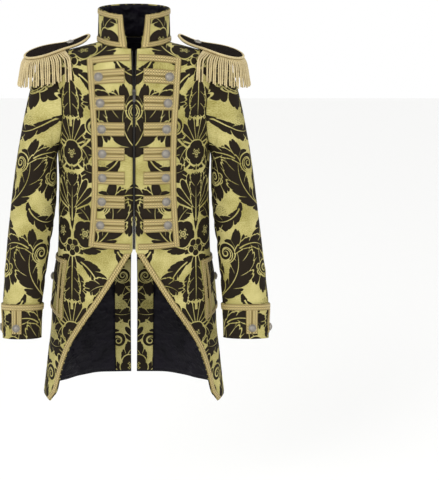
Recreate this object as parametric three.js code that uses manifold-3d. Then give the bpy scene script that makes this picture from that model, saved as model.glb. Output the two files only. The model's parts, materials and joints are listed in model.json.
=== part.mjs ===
// A brocade tailcoat for costume wear, filled out as it is worn, in millimetres.
// +Z is up, -Y is the coat's front and +X its wearer's left. The origin is the middle of the neck,
// level with the tops of the shoulders, where the wearer carries the coat.
// Cloth is a wall: a smooth surface from tables of sizes, and the same surface moved inwards.

import * as THREE from "three";
import Module from "manifold-3d";
import { mergeVertices } from "three/addons/utils/BufferGeometryUtils.js";

const wasm = await Module();
wasm.setup();

const { lerp, clamp, smoothstep, degToRad, radToDeg } = THREE.MathUtils;
const coat = new THREE.Group();

// ---------------------------------------------------------------- sizes

const cloth = { wall: 2, lining: 1.2, seam: 0.3 };
const braid = { rise: 0.75, thick: 1.5, width: 14 };
const waistZ = -484; // where the zip and the breast braid end
const armhole = { top: -34, bottom: -265, halfDepth: 63 };

// Level rings of the body from the neck down: half width at the sides, depth to the front and to
// the back, and how square the ring is (2 is an ellipse, less is pointed at the shoulder ridge).
const bodyRings = [
  { z: 14, half: 74, front: 76, back: 72, square: 2 },
  { z: 0, half: 87, front: 85, back: 75, square: 2 },
  { z: -8, half: 115, front: 91, back: 82, square: 1.8 },
  { z: -17, half: 150, front: 96, back: 89, square: 1.7 },
  { z: -26, half: 187, front: 100, back: 94, square: 1.7 },
  { z: -34, half: 213, front: 103, back: 98, square: 1.75 },
  { z: -60, half: 211, front: 110, back: 107, square: 1.85 },
  { z: -120, half: 200, front: 119, back: 121, square: 2.05 },
  { z: -200, half: 190, front: 126, back: 122, square: 2.1 },
  { z: -265, half: 186, front: 125, back: 114, square: 2.1 },
  { z: -330, half: 184, front: 121, back: 104, square: 2.1 },
  { z: -397, half: 186, front: 117, back: 97, square: 2.1 },
  { z: -474, half: 188, front: 115, back: 96, square: 2.1 },
  { z: -520, half: 191, front: 114, back: 102, square: 2.1 },
  { z: -577, half: 200, front: 113, back: 113, square: 2.1 },
  { z: -642, half: 206, front: 112, back: 124, square: 2.1 },
  { z: -722, half: 210, front: 110, back: 134, square: 2.1 },
  { z: -775, half: 216, front: 109, back: 140, square: 2.1 },
  { z: -829, half: 222, front: 108, back: 146, square: 2.1 },
  { z: -910, half: 234, front: 107, back: 153, square: 2.1 },
];

// Soft folds of the skirts: where round the body (0 is the front, 90 the wearer's left side, 180 the
// back), how wide in degrees, how far they stand out, and the heights where they start and are full.
const bodyFolds = [
  { angle: 106, spread: 13, depth: 7, top: -560, full: -860 },
  { angle: 133, spread: 8, depth: -6, top: -540, full: -850 },
  { angle: 160, spread: 9, depth: 7, top: -500, full: -860 },
  { angle: -103, spread: 12, depth: 6, top: -580, full: -850 },
  { angle: -128, spread: 9, depth: -7, top: -550, full: -870 },
  { angle: -157, spread: 8, depth: 6, top: -500, full: -840 },
  { angle: 72, spread: 9, depth: -3, top: -650, full: -850 },
  { angle: -74, spread: 9, depth: -3, top: -630, full: -850 },
];

// The front edge of the left front: beside the zip, then the cutaway down to the tail's tip.
const frontEdge = [
  { z: -13, x: 7 },
  { z: -60, x: 5.2 },
  { z: -115, x: 3.4 },
  { z: waistZ, x: 3.4 },
  { z: -500, x: 11 },
  { z: -545, x: 38 },
  { z: -610, x: 78 },
  { z: -690, x: 130 },
  { z: -747, x: 161 },
  { z: -807, x: 181 },
  { z: -865, x: 196 },
  { z: -898, x: 217 },
];

const vent = { top: -430 };
const ventGap = [
  { z: -426, gap: 2.4 },
  { z: -442, gap: 4 },
  { z: -490, gap: 12 },
  { z: -680, gap: 17 },
  { z: -888, gap: 15 },
];

// Sleeve sections from the armhole to the wrist, in the plane of the outer and the inner edge.
// hollow draws the first ones in towards the chest, lift tips their front edge up, and broad is
// how much wider than deep the wearer's left sleeve shows, as it is turned further round.
const sleeveRings = [
  { outerX: 213, outerZ: -34, innerX: 186, innerZ: -265, depth: 63, y: 0, hollow: 29, lift: 0, broad: 0 },
  { outerX: 232, outerZ: -60, innerX: 187.6, innerZ: -270, depth: 63, y: 0, hollow: 20, lift: 0, broad: 0 },
  { outerX: 246, outerZ: -99, innerX: 188.3, innerZ: -277, depth: 63, y: 0, hollow: 11, lift: 0, broad: 0 },
  { outerX: 258, outerZ: -143, innerX: 188.5, innerZ: -285, depth: 63, y: 0, hollow: 5, lift: 0, broad: 0 },
  { outerX: 269, outerZ: -192, innerX: 188.6, innerZ: -296, depth: 62, y: -1, hollow: 1.5, lift: 0, broad: 0 },
  { outerX: 280, outerZ: -246, innerX: 188.8, innerZ: -314, depth: 61, y: -2, hollow: 0, lift: 0, broad: 0 },
  { outerX: 290, outerZ: -303, innerX: 189.2, innerZ: -345, depth: 60, y: -4, hollow: 0, lift: 1, broad: 0 },
  { outerX: 299, outerZ: -365, innerX: 191.5, innerZ: -388, depth: 59.5, y: -7, hollow: 0, lift: 3, broad: 0 },
  { outerX: 306, outerZ: -423, innerX: 197, innerZ: -434, depth: 58.5, y: -13, hollow: 0, lift: 5, broad: 1 },
  { outerX: 312, outerZ: -476, innerX: 204.5, innerZ: -480, depth: 57, y: -23, hollow: 0, lift: 7, broad: 2 },
  { outerX: 316, outerZ: -526, innerX: 212, innerZ: -526, depth: 55, y: -36, hollow: 0, lift: 8, broad: 4 },
  { outerX: 319.5, outerZ: -577, innerX: 219, innerZ: -577, depth: 52.5, y: -51, hollow: 0, lift: 9, broad: 6 },
  { outerX: 322.5, outerZ: -629, innerX: 226, innerZ: -629, depth: 50, y: -66, hollow: 0, lift: 10, broad: 8 },
  { outerX: 320.5, outerZ: -668, innerX: 229, innerZ: -668, depth: 48.5, y: -78, hollow: 0, lift: 10, broad: 8 },
  { outerX: 319.5, outerZ: -708, innerX: 230, innerZ: -708, depth: 47.5, y: -90, hollow: 0, lift: 10, broad: 8 },
];

// Creases of the sleeves: where along (in sections) and round (0 outer, 90 front, 180 inner, 270
// back) they lie, their reach both ways and how deep they are.
const sleeveFolds = [
  { ring: 7.2, round: 120, rings: 0.55, spread: 46, depth: -3.5 },
  { ring: 8.2, round: 70, rings: 0.5, spread: 50, depth: -3 },
  { ring: 9.3, round: 130, rings: 0.6, spread: 40, depth: -3 },
  { ring: 5.6, round: 300, rings: 0.6, spread: 40, depth: -3 },
  { ring: 10.6, round: 30, rings: 0.5, spread: 45, depth: 2 },
];

const collar = { half: 84, front: 75, back: 60, frontTop: 63, sideTop: 78, backTop: 88 };
const collarGap = { bottom: 15, top: 25 }; // half of the opening at the throat

// ---------------------------------------------------------------- smooth tables

/** A smooth function through one named column of a table, with no overshoot between its rows. */
function curve(rows, key, name) {
  const at = rows.map((row) => row[key]);
  const value = rows.map((row) => row[name]);
  const slope = at.slice(1).map((next, i) => (value[i + 1] - value[i]) / (next - at[i]));
  const tangent = value.map((_, i) => {
    if (i === 0) return slope[0];
    if (i === slope.length) return slope[i - 1];
    const product = slope[i - 1] * slope[i];
    return product > 0 ? (2 * product) / (slope[i - 1] + slope[i]) : 0;
  });
  const down = at[1] < at[0];
  return (position) => {
    let i = 0;
    while (i < slope.length - 1 && (down ? position < at[i + 1] : position > at[i + 1])) i++;
    const width = at[i + 1] - at[i];
    const t = clamp((position - at[i]) / width, -0.5, 1.5);
    const far = t * t * (3 - 2 * t);
    const leave = t * (1 - t) * (1 - t) * width;
    const arrive = t * t * (t - 1) * width;
    return lerp(value[i], value[i + 1], far) + leave * tangent[i] + arrive * tangent[i + 1];
  };
}

/** One smooth function for each column of a table but its key. */
function curves(rows, key) {
  const names = Object.keys(rows[0]).filter((name) => name !== key);
  return Object.fromEntries(names.map((name) => [name, curve(rows, key, name)]));
}

const ring = curves(bodyRings, "z");
const frontEdgeX = curve(frontEdge, "z", "x");
const halfVent = (z) => curve(ventGap, "z", "gap")(z) / 2;
const sleeveRing = curves(sleeveRings.map((row, i) => ({ at: i, ...row })), "at");

/** Evenly spaced values from first to last, both included. */
const steps = (first, last, count) =>
  Array.from({ length: count + 1 }, (_, i) => lerp(first, last, i / count));

// ---------------------------------------------------------------- closed walls from surfaces

/** The point of a surface at (row, column), moved out along its normal. */
function offsetBy(surface, flip = 1) {
  const small = { row: surface.rowStep ?? 0.5, column: surface.columnStep ?? 0.5 };
  return (row, column, out) => {
    const point = surface.point(row, column);
    if (out === 0) return point;
    const alongRow = surface
      .point(row, column + small.column)
      .sub(surface.point(row, column - small.column));
    const alongColumn = surface
      .point(row + small.row, column)
      .sub(surface.point(row - small.row, column));
    const normal = alongRow.cross(alongColumn).normalize();
    return point.addScaledVector(normal, out * flip);
  };
}

/**
 * A closed wall between two offsets of a grid of points. at(row, column, out) gives the points,
 * keep(i, j) leaves cells out, and round joins the last column to the first.
 */
function wall({ rows, columns, at, outer, inner, keep = () => true, round = false }) {
  const across = columns.length;
  const index = (i, j) => i * across + (j % across);
  const points = [outer, inner].flatMap((out) =>
    rows.flatMap((row) => columns.map((column) => at(row, column, out))),
  );
  const layer = rows.length * across;
  const triangles = [];
  for (let i = 0; i < rows.length - 1; i++)
    for (let j = 0; j < (round ? across : across - 1); j++) {
      if (!keep(i, j)) continue;
      const [a, b] = [index(i, j), index(i, j + 1)];
      const [c, d] = [index(i + 1, j + 1), index(i + 1, j)];
      triangles.push([a, b, c], [a, c, d]);
    }
  const edges = new Set();
  for (const t of triangles) t.forEach((v, k) => edges.add(v + "," + t[(k + 1) % 3]));
  const faces = [];
  for (const [a, b, c] of triangles) faces.push([a, b, c], [c + layer, b + layer, a + layer]);
  for (const edge of edges) {
    const [a, b] = edge.split(",").map(Number);
    if (edges.has(b + "," + a)) continue;
    faces.push([b, a, a + layer], [b, a + layer, b + layer]);
  }
  return closedGeometry(points, faces);
}

/** A geometry of only the points in use, with its faces turned out. */
function closedGeometry(points, faces) {
  const volume = faces.reduce((sum, [a, b, c]) => {
    const cross = new THREE.Vector3().crossVectors(points[b], points[c]);
    return sum + points[a].dot(cross);
  }, 0);
  const geometry = new THREE.BufferGeometry();
  geometry.setAttribute(
    "position",
    new THREE.Float32BufferAttribute(points.flatMap((p) => p.toArray()), 3),
  );
  const turned = volume < 0 ? faces.map(([a, b, c]) => [a, c, b]) : faces;
  geometry.setIndex(turned.flat());
  return geometry;
}

/** A closed tube of few sides along a list of points; closed joins its ends into a loop. */
function tube(path, radius, sides, closed = false) {
  const line = new THREE.CatmullRomCurve3(path, closed);
  const count = path.length - (closed ? 0 : 1);
  const frames = line.computeFrenetFrames(count, closed);
  const points = [];
  for (let i = 0; i < count + (closed ? 0 : 1); i++)
    for (let k = 0; k < sides; k++) {
      const turn = (2 * Math.PI * k) / sides;
      const centre = line.getPoint(i / count);
      const size = typeof radius === "function" ? radius(i / count) : radius;
      centre.addScaledVector(frames.normals[i], Math.cos(turn) * size);
      centre.addScaledVector(frames.binormals[i], Math.sin(turn) * size);
      points.push(centre);
    }
  const rings = points.length / sides;
  const faces = [];
  for (let i = 0; i < (closed ? rings : rings - 1); i++)
    for (let k = 0; k < sides; k++) {
      const [a, b] = [i * sides + k, i * sides + ((k + 1) % sides)];
      const next = ((i + 1) % rings) * sides;
      const [c, d] = [next + ((k + 1) % sides), next + k];
      faces.push([a, b, c], [a, c, d]);
    }
  if (!closed)
    for (let k = 1; k < sides - 1; k++) {
      const last = (rings - 1) * sides;
      faces.push([0, k + 1, k], [last, last + k, last + k + 1]);
    }
  return closedGeometry(points, faces);
}

/** A geometry as a manifold-3d solid. */
function solid(geometry) {
  const bare = new THREE.BufferGeometry();
  bare.setAttribute("position", geometry.getAttribute("position"));
  bare.setIndex(geometry.getIndex());
  const merged = mergeVertices(bare, 1e-4);
  return new wasm.Manifold(
    new wasm.Mesh({
      numProp: 3,
      vertProperties: merged.attributes.position.array,
      triVerts: new Uint32Array(merged.index.array),
    }),
  );
}

/** A manifold-3d solid as a geometry. */
function geometryOf(made) {
  const mesh = made.getMesh();
  const geometry = new THREE.BufferGeometry();
  geometry.setAttribute("position", new THREE.BufferAttribute(mesh.vertProperties, 3));
  geometry.setIndex(new THREE.BufferAttribute(mesh.triVerts, 1));
  return geometry;
}

const joined = (geometries) => geometryOf(wasm.Manifold.union(geometries.map(solid)));

// ---------------------------------------------------------------- materials

const finish = (color, roughness, metalness) =>
  new THREE.MeshStandardMaterial({ color, roughness, metalness });
const brocade = finish(0x8a8050, 0.85, 0);
const goldBraid = finish(0xb0965a, 0.65, 0.1);
const satin = finish(0x1c1a22, 0.4, 0);
const felt = finish(0x1a120e, 0.95, 0);
const paleCord = finish(0xd8c494, 0.7, 0);
const silver = finish(0x8f877b, 0.4, 0.9);
const zipBlack = finish(0x141414, 0.6, 0);

/** Puts a piece into the coat. */
function add(name, geometry, material, parent = coat) {
  const mesh = new THREE.Mesh(geometry, material);
  mesh.name = name;
  parent.add(mesh);
  return mesh;
}

const sides = [
  { side: 1, worn: "left" },
  { side: -1, worn: "right" },
];

const mirrored = (side, at) => (row, column, out) => {
  const point = at(row, column, out);
  point.x *= side;
  return point;
};

// ---------------------------------------------------------------- body

const signedAngle = (angle) => (angle > 180 ? angle - 360 : angle);

/** How far the skirts' folds stand out at an angle round the body. */
function foldOut(angle, z) {
  return bodyFolds.reduce((sum, fold) => {
    const away = Math.abs(signedAngle(angle) - fold.angle) / fold.spread;
    const grown = 1 - smoothstep(z, fold.full, fold.top);
    return sum + fold.depth * grown * Math.exp(-away * away);
  }, 0);
}

/** The body's surface: angle in degrees round it from the front centre towards the wearer's left. */
function bodySurface(z, angle) {
  const turn = degToRad(angle);
  const [sin, cos] = [Math.sin(turn), Math.cos(turn)];
  const power = 2 / ring.square(z);
  const depth = cos > 0 ? ring.front(z) : ring.back(z);
  const x = ring.half(z) * Math.sign(sin) * Math.abs(sin) ** power;
  const y = -depth * Math.sign(cos) * Math.abs(cos) ** power;
  const plan = new THREE.Vector2(x, y);
  plan.setLength(plan.length() + foldOut(angle, z));
  return new THREE.Vector3(plan.x, plan.y, z);
}
const body = offsetBy({ point: bodySurface });

/** The angle where the body's surface reaches x across the front, or y in depth. */
const angleAtX = (x, z) =>
  radToDeg(Math.asin(clamp((x / ring.half(z)) ** (ring.square(z) / 2), 0, 1)));
function angleAtDepth(y, z, isFront) {
  const depth = isFront ? ring.front(z) : ring.back(z);
  const angle = radToDeg(Math.acos((y / depth) ** (ring.square(z) / 2)));
  return isFront ? angle : 180 - angle;
}

/** A point of the front given straight by x and z. */
const onFront = (x, z, out) => body(z, Math.sign(x) * angleAtX(Math.abs(x), z), out);

const necklineZ = (angle) => {
  const cos = Math.cos(degToRad(angle));
  return cos > 0 ? -13 * cos ** 3 : 8 * cos * cos;
};
const hemZ = (angle) => {
  const toFront = Math.cos(degToRad(angle));
  return -888 - 10 * Math.max(0, toFront) * 2.2;
};

// Grid rows: the neckline, the shoulder down to its tip, the armhole, then the trunk and skirts.
const armholeTurns = steps(0, 180, 9);
const armholeMiddle = (armhole.top + armhole.bottom) / 2;
const armholeHalf = (armhole.top - armhole.bottom) / 2;
const shoulderShares = [0, 0.22, 0.48, 0.74];
const armholeZ = armholeTurns.map((turn) => armholeMiddle + armholeHalf * Math.cos(degToRad(turn)));
const trunkZ = [
  ...[-300, -340, -380, vent.top, -458, waistZ, -502, -525],
  ...[-560, -600, -640, -680, -720, -760, -800, -840, -868],
];
const panelRows = [
  ...shoulderShares.map((share) => ({ kind: "shoulder", share })),
  ...armholeZ.map((z, i) => ({ kind: "armhole", z, turn: armholeTurns[i] })),
  ...trunkZ.map((z) => ({ kind: "trunk", z })),
  { kind: "hem" },
];

/** The height of a grid row at an angle round the body. */
function rowZ(row, angle) {
  if (row.kind === "shoulder") return lerp(necklineZ(angle), armhole.top, row.share);
  return row.kind === "hem" ? hemZ(angle) : row.z;
}

/** The angle of a panel's edge at the side seam, the shoulder seam or the armhole. */
function seamAngle(row, z, isFront) {
  const cut = row.kind === "armhole" ? armhole.halfDepth * Math.sin(degToRad(row.turn)) : 0;
  return angleAtDepth(Math.max(cut, cloth.seam / 2), z, isFront);
}

/** A point of a front or of one half of the back, from its grid row and its share across. */
function panelPoint(row, share, out, edges, side) {
  let z = rowZ(row, 90);
  let angle = 90;
  for (let pass = 0; pass < 6; pass++) {
    angle = lerp(edges.first(row, z), edges.last(row, z), share);
    z = rowZ(row, angle);
  }
  return body(z, side * angle, out);
}

const frontEdges = {
  first: (row, z) => angleAtX(frontEdgeX(z), z),
  last: (row, z) => seamAngle(row, z, true),
};
const backEdges = {
  first: (row, z) => seamAngle(row, z, false),
  last: (row, z) => 180 - angleAtX(halfVent(z), z),
};

for (const { side, worn } of sides)
  add(
    "front_" + worn,
    wall({
      rows: panelRows,
      columns: steps(0, 1, 9),
      at: (row, share, out) => panelPoint(row, share, out, frontEdges, side),
      outer: 0,
      inner: -cloth.wall,
    }),
    brocade,
  );

// The back is one piece: its middle strip of cells stops at the top of the vent.
const backShares = steps(0, 1, 7);
const backColumns = [
  ...backShares.map((share) => ({ side: 1, share })),
  ...backShares.toReversed().map((share) => ({ side: -1, share })),
];
const ventCell = backShares.length - 1;
add(
  "back",
  wall({
    rows: panelRows,
    columns: backColumns,
    at: (row, { side, share }, out) => panelPoint(row, share, out, backEdges, side),
    outer: 0,
    inner: -cloth.wall,
    keep: (i, j) => j !== ventCell || rowZ(panelRows[i], 180) > vent.top + 1,
  }),
  brocade,
);

// ---------------------------------------------------------------- sleeves and cuffs

/** The armhole's edge: 0 at the shoulder tip, 90 in front, 180 at the armpit. */
function armholePoint(round) {
  const turn = degToRad(round);
  const z = armholeMiddle + armholeHalf * Math.cos(turn);
  const y = -armhole.halfDepth * Math.sin(turn);
  const depth = y < 0 ? ring.front(z) : ring.back(z);
  const share = 1 - (Math.abs(y) / depth) ** ring.square(z);
  const x = ring.half(z) * share ** (1 / ring.square(z));
  return new THREE.Vector3(x + cloth.seam + 0.2, y, z - 0.1);
}

const sleeveFoldOut = (at, round) =>
  sleeveFolds.reduce((sum, fold) => {
    const apart = Math.abs(((round - fold.round + 540) % 360) - 180) / fold.spread;
    const along = (at - fold.ring) / fold.rings;
    return sum + fold.depth * Math.exp(-apart * apart - along * along);
  }, 0);

/** A sleeve's surface on the wearer's left; broad is 1 for the sleeve that is turned further. */
function sleeveSurface(at, round, broad) {
  const row = Math.max(at, 1);
  const turn = degToRad(round);
  const [cos, sin] = [Math.cos(turn), Math.sin(turn)];
  const outer = new THREE.Vector2(sleeveRing.outerX(row), sleeveRing.outerZ(row));
  const inner = new THREE.Vector2(sleeveRing.innerX(row), sleeveRing.innerZ(row));
  const centre = outer.clone().add(inner).multiplyScalar(0.5);
  const half = outer.sub(centre);
  half.setLength(half.length() + broad * sleeveRing.broad(row) + sleeveFoldOut(at, round));
  const depth = sleeveRing.depth(row) - 0.4 * broad * sleeveRing.broad(row);
  const hollow = sleeveRing.hollow(row) * sin * sin;
  const point = new THREE.Vector3(
    centre.x + half.x * cos - hollow,
    sleeveRing.y(row) - (depth + sleeveFoldOut(at, round)) * sin,
    centre.y + half.y * cos + sleeveRing.lift(row) * sin,
  );
  return at < 1 ? armholePoint(round).lerp(point, at) : point;
}

const roundTurns = steps(0, 360, 18).slice(0, -1);
const cuff = { top: 12, ringEnd: 12.35, barEnd: 13.75, bottom: 14.05, rise: 0.8, buttonAt: 13.42 };
const cuffBars = [
  { middle: 80, half: 15 }, // front, a double bar
  { middle: 10, half: 15 }, // outer side, a double bar
  { middle: 215, half: 7.5 }, // behind, a single strip
];
const sleeveEnd = 13.9;

for (const { side, worn } of sides) {
  const broad = side > 0 ? 1 : 0;
  const onSleeve = mirrored(
    side,
    offsetBy({ point: (at, round) => sleeveSurface(at, round, broad), rowStep: 0.04 }),
  );
  add(
    "sleeve_" + worn,
    wall({
      rows: [...steps(0, 13, 13), sleeveEnd],
      columns: roundTurns,
      at: onSleeve,
      outer: 0,
      inner: -cloth.wall,
      round: true,
    }),
    brocade,
  );
  const cuffOut = cuff.rise + cloth.wall;
  add(
    "cuff_" + worn,
    wall({
      rows: [cuff.top, cuff.ringEnd, 13, cuff.bottom],
      columns: roundTurns,
      at: onSleeve,
      outer: cuffOut,
      inner: cuff.rise,
      round: true,
    }),
    brocade,
  );
  // The braid's grid has the cuff's own columns and each bar's two edges.
  const barEdges = cuffBars.flatMap(({ middle, half }) => [middle - half, middle + half]);
  const braidTurns = [...roundTurns, ...barEdges.map((turn) => (turn + 360) % 360)];
  braidTurns.sort((a, b) => a - b);
  const inBar = (j) => {
    const next = j + 1 < braidTurns.length ? braidTurns[j + 1] : 360;
    const middle = (braidTurns[j] + next) / 2;
    return cuffBars.some((bar) => Math.abs(((middle - bar.middle + 540) % 360) - 180) < bar.half);
  };
  const braidOut = cuffOut + 0.5;
  add(
    "cuff_braid_" + worn,
    wall({
      rows: [cuff.top + 0.02, cuff.ringEnd, 13, cuff.barEnd],
      columns: braidTurns,
      at: onSleeve,
      outer: braidOut + braid.thick,
      inner: braidOut,
      round: true,
      keep: (i, j) => i === 0 || inBar(j),
    }),
    goldBraid,
  );
  const seat = braidOut + braid.thick;
  const sideSeat = seat - 0.35; // the outer bar is flatter than the cuff is round
  addButton("cuff_button_front_" + worn, onSleeve, cuff.buttonAt, cuffBars[0].middle, seat, 9.5);
  addButton("cuff_button_side_" + worn, onSleeve, cuff.buttonAt, cuffBars[1].middle, sideSeat, 9.5);
}

// ---------------------------------------------------------------- buttons

/** A domed button with a rim, seated on a surface. */
function addButton(name, at, row, column, seat, radius) {
  const lift = seat + 0.35;
  const foot = at(row, column, lift);
  const normal = at(row, column, lift + 1).sub(foot).normalize();
  const profile = [
    [0, 0],
    [radius, 0],
    [radius, 1.6],
    [radius * 0.72, 4.8],
    [0, 6.6],
  ].map(([x, y]) => new THREE.Vector2(x, y));
  const button = add(name, new THREE.LatheGeometry(profile, 9), silver);
  button.position.copy(foot);
  button.quaternion.setFromUnitVectors(new THREE.Vector3(0, 1, 0), normal);
}

// ---------------------------------------------------------------- collar

const collarTopZ = (cos) =>
  cos > 0
    ? lerp(collar.sideTop, collar.frontTop, cos ** 1.5)
    : lerp(collar.sideTop, collar.backTop, -cos);

/** The collar: up 0 is its seam to the neckline and 1 its top edge. */
function collarSurface(up, angle) {
  const turn = degToRad(angle);
  const [sin, cos] = [Math.sin(turn), Math.cos(turn)];
  const base = bodySurface(necklineZ(angle), angle);
  base.z += cloth.seam;
  const depth = cos > 0 ? collar.front : collar.back;
  return base.lerp(new THREE.Vector3(collar.half * sin, -depth * cos, collarTopZ(cos)), up);
}
const collarSkin = offsetBy({ point: collarSurface, rowStep: 0.02 });
const collarStart = (up) =>
  lerp(angleAtX(collarGap.bottom, -13), radToDeg(Math.asin(collarGap.top / collar.half)), up);
const onCollar = (up, share, out) => {
  const start = collarStart(up);
  return collarSkin(up, lerp(start, 360 - start, share), out);
};
const collarEnd = 0.026; // the share of the collar's length under the braid of its front edge
const collarShares = [0, collarEnd, ...steps(0.07, 0.93, 20), 1 - collarEnd, 1];
const lastCell = collarShares.length - 2;

add(
  "collar",
  wall({
    rows: [0, 0.5, 1],
    columns: collarShares,
    at: onCollar,
    outer: 0,
    inner: -cloth.wall,
  }),
  brocade,
);
add(
  "collar_braid",
  wall({
    rows: [0.015, 0.165, 0.835, 0.985],
    columns: collarShares.map((share) => clamp(share, 0.002, 0.998)),
    at: onCollar,
    outer: braid.rise + braid.thick,
    inner: braid.rise,
    keep: (i, j) => i !== 1 || j === 0 || j === lastCell,
  }),
  goldBraid,
);
const neckLiningOut = -cloth.wall - 0.6;
add(
  "neck_lining",
  wall({
    rows: [0.04, 0.5, 0.97],
    columns: collarShares.map((share) => clamp(share, 0.004, 0.996)),
    at: onCollar,
    outer: neckLiningOut,
    inner: neckLiningOut - cloth.lining,
  }),
  satin,
);

// ---------------------------------------------------------------- zip

const zip = { gap: 0.3, tape: 3.2, closedBelow: -116, sliderZ: -110 };
const zipRows = [-15, -40, -66, -92, zip.closedBelow, ...steps(-150, waistZ + 1, 11)];

/** The zip between the fronts: side -1 or 1, and 1 at its outer edge or 0 at the teeth. */
function onZip(z, { side, edge }, out) {
  const outer = frontEdgeX(z) - zip.gap;
  const teeth = Math.max(0.4, outer - zip.tape);
  return onFront(side * (edge ? outer : teeth), z, out);
}
add(
  "zip",
  wall({
    rows: zipRows,
    columns: [
      { side: -1, edge: 1 },
      { side: -1, edge: 0 },
      { side: 1, edge: 0 },
      { side: 1, edge: 1 },
    ],
    at: onZip,
    outer: -0.2,
    inner: -2,
    keep: (i, j) => j !== 1 || zipRows[i] <= zip.closedBelow,
  }),
  zipBlack,
);

// The slider and its pull share one place, turned to the slope of the chest there.
const slider = { wide: 8, tall: 12, deep: 3, lift: 0.5, holeRadius: 1.3, loopRadius: 2.5, loopWide: 1.6 };
const pull = { bar: 0.8, arms: 5.2, armAt: 2.5, armWide: 1.2, wide: 6.2, length: 23, thick: 1.2 };
const axisOut = slider.deep + slider.holeRadius + 0.4;
const sliderFoot = onFront(1e-6, zip.sliderZ, slider.lift);
const sliderNormal = onFront(1e-6, zip.sliderZ, slider.lift + 1).sub(sliderFoot);
const sliderPlace = new THREE.Group();
sliderPlace.position.copy(sliderFoot);
sliderPlace.rotation.x = Math.atan2(-sliderNormal.z, -sliderNormal.y);
coat.add(sliderPlace);

/** A box by its middle and size. */
function box(x, y, z, wide, deep, tall) {
  const geometry = new THREE.BoxGeometry(wide, deep, tall);
  geometry.translate(x, y, z);
  return geometry;
}

/** The slider's loop: a ring in the plane across the hinge, with its hole for the pull's bar. */
function sliderLoop() {
  const outline = new THREE.Shape().absarc(0, 0, slider.loopRadius, 0, 2 * Math.PI);
  outline.holes.push(new THREE.Path().absarc(0, 0, slider.holeRadius, 0, 2 * Math.PI, true));
  const geometry = new THREE.ExtrudeGeometry(outline, {
    depth: slider.loopWide,
    bevelEnabled: false,
    curveSegments: 6,
  });
  geometry.translate(0, 0, -slider.loopWide / 2);
  geometry.rotateY(Math.PI / 2);
  geometry.translate(0, -axisOut, 0);
  return geometry;
}
add(
  "zip_slider",
  joined([box(0, -slider.deep / 2, 0, slider.wide, slider.deep, slider.tall), sliderLoop()]),
  zipBlack,
  sliderPlace,
);
const crossBar = new THREE.CylinderGeometry(pull.bar, pull.bar, pull.wide, 8);
crossBar.rotateZ(Math.PI / 2);
crossBar.translate(0, -axisOut, 0);
const plateLong = pull.length - pull.arms;
add(
  "zip_pull",
  joined([
    crossBar,
    ...[-1, 1].map((side) =>
      box(side * pull.armAt, -axisOut, -pull.arms / 2, pull.armWide, pull.thick, pull.arms),
    ),
    box(0, -axisOut, -pull.arms - plateLong / 2 + 0.4, pull.wide, pull.thick, plateLong),
  ]),
  zipBlack,
  sliderPlace,
);

// ---------------------------------------------------------------- breast braid

// The frame's outer edge on each side of the zip, narrowest at the waist.
const bibSide = [
  { z: -35, x: 109 },
  { z: -120, x: 103.5 },
  { z: -200, x: 99 },
  { z: -280, x: 98 },
  { z: -350, x: 99.5 },
  { z: -420, x: 104 },
  { z: -479, x: 109.3 },
];
// How far a level line of the braid rises (or dips) at the zip.
const bibBow = [
  { z: -35, bow: 10 },
  { z: -80, bow: 8 },
  { z: -137, bow: 4 },
  { z: -195, bow: 0 },
  { z: -400, bow: 0 },
  { z: -479, bow: -5 },
];
const bib = { zipX: 9, barX: 22, top: -35, bottom: -479, firstBar: -80, barStep: 57.4, barHalf: 15.5, bars: 7 };
const bibSideX = curve(bibSide, "z", "x");
const bibBowAt = curve(bibBow, "z", "bow");
const barMiddles = steps(0, bib.bars - 1, bib.bars - 1).map((i) => bib.firstBar - bib.barStep * i);
const bibRows = [
  { z: bib.top, below: "frame" },
  { z: bib.top - braid.width / 2, below: "frame" },
  { z: bib.top - braid.width, below: "gap" },
  ...barMiddles.flatMap((z) => [
    { z: z + bib.barHalf, below: "bar" },
    { z: z - bib.barHalf, below: "gap" },
  ]),
  { z: bib.bottom + braid.width, below: "frame" },
  { z: bib.bottom, below: "edge" },
];
// Columns of its grid: beside the zip, where bars start, three between, then the side strip.
const bibColumns = [
  () => bib.zipX,
  ...steps(0, 1, 4).map((share) => (edge) => lerp(bib.barX, edge - braid.width, share)),
  (edge) => edge,
];
const sideCell = bibColumns.length - 2;
const inBib = (i, j) =>
  j === sideCell || bibRows[i].below === "frame" || (bibRows[i].below === "bar" && j > 0);

for (const { side, worn } of sides) {
  const onBib = (z, x, out) => {
    const edge = bibSideX(z);
    const rise = bibBowAt(z) * (1 - (x(edge) / edge) ** 2);
    return onFront(side * x(edge), z + rise, out);
  };
  add(
    "bib_braid_" + worn,
    wall({
      rows: bibRows.map(({ z }) => z),
      columns: bibColumns,
      at: onBib,
      outer: braid.rise + braid.thick,
      inner: braid.rise,
      keep: inBib,
    }),
    goldBraid,
  );
  barMiddles.forEach((z, i) => {
    const seat = braid.rise + braid.thick;
    const x = (edge) => edge - 25;
    addButton("breast_button_" + worn + "_" + (i + 1), onBib, z, x, seat, 10.5);
  });
}

// ---------------------------------------------------------------- edge braids

/** The angle a distance in from an edge, measured square to the edge along the cloth. */
function inFrom(edgeAngle, z, distance) {
  const step = 1;
  const along = bodySurface(z + step, edgeAngle(z + step));
  along.sub(bodySurface(z - step, edgeAngle(z - step)));
  const round = bodySurface(z, edgeAngle(z) + step).sub(bodySurface(z, edgeAngle(z) - step));
  const sine = new THREE.Vector3().crossVectors(along, round).length() / along.length();
  return edgeAngle(z) + (distance * 2 * step) / sine;
}

const cutawayAngle = (z) => angleAtX(frontEdgeX(z), z);
const ventAngle = (z) => 180 - angleAtX(halfVent(z), z);

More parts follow.
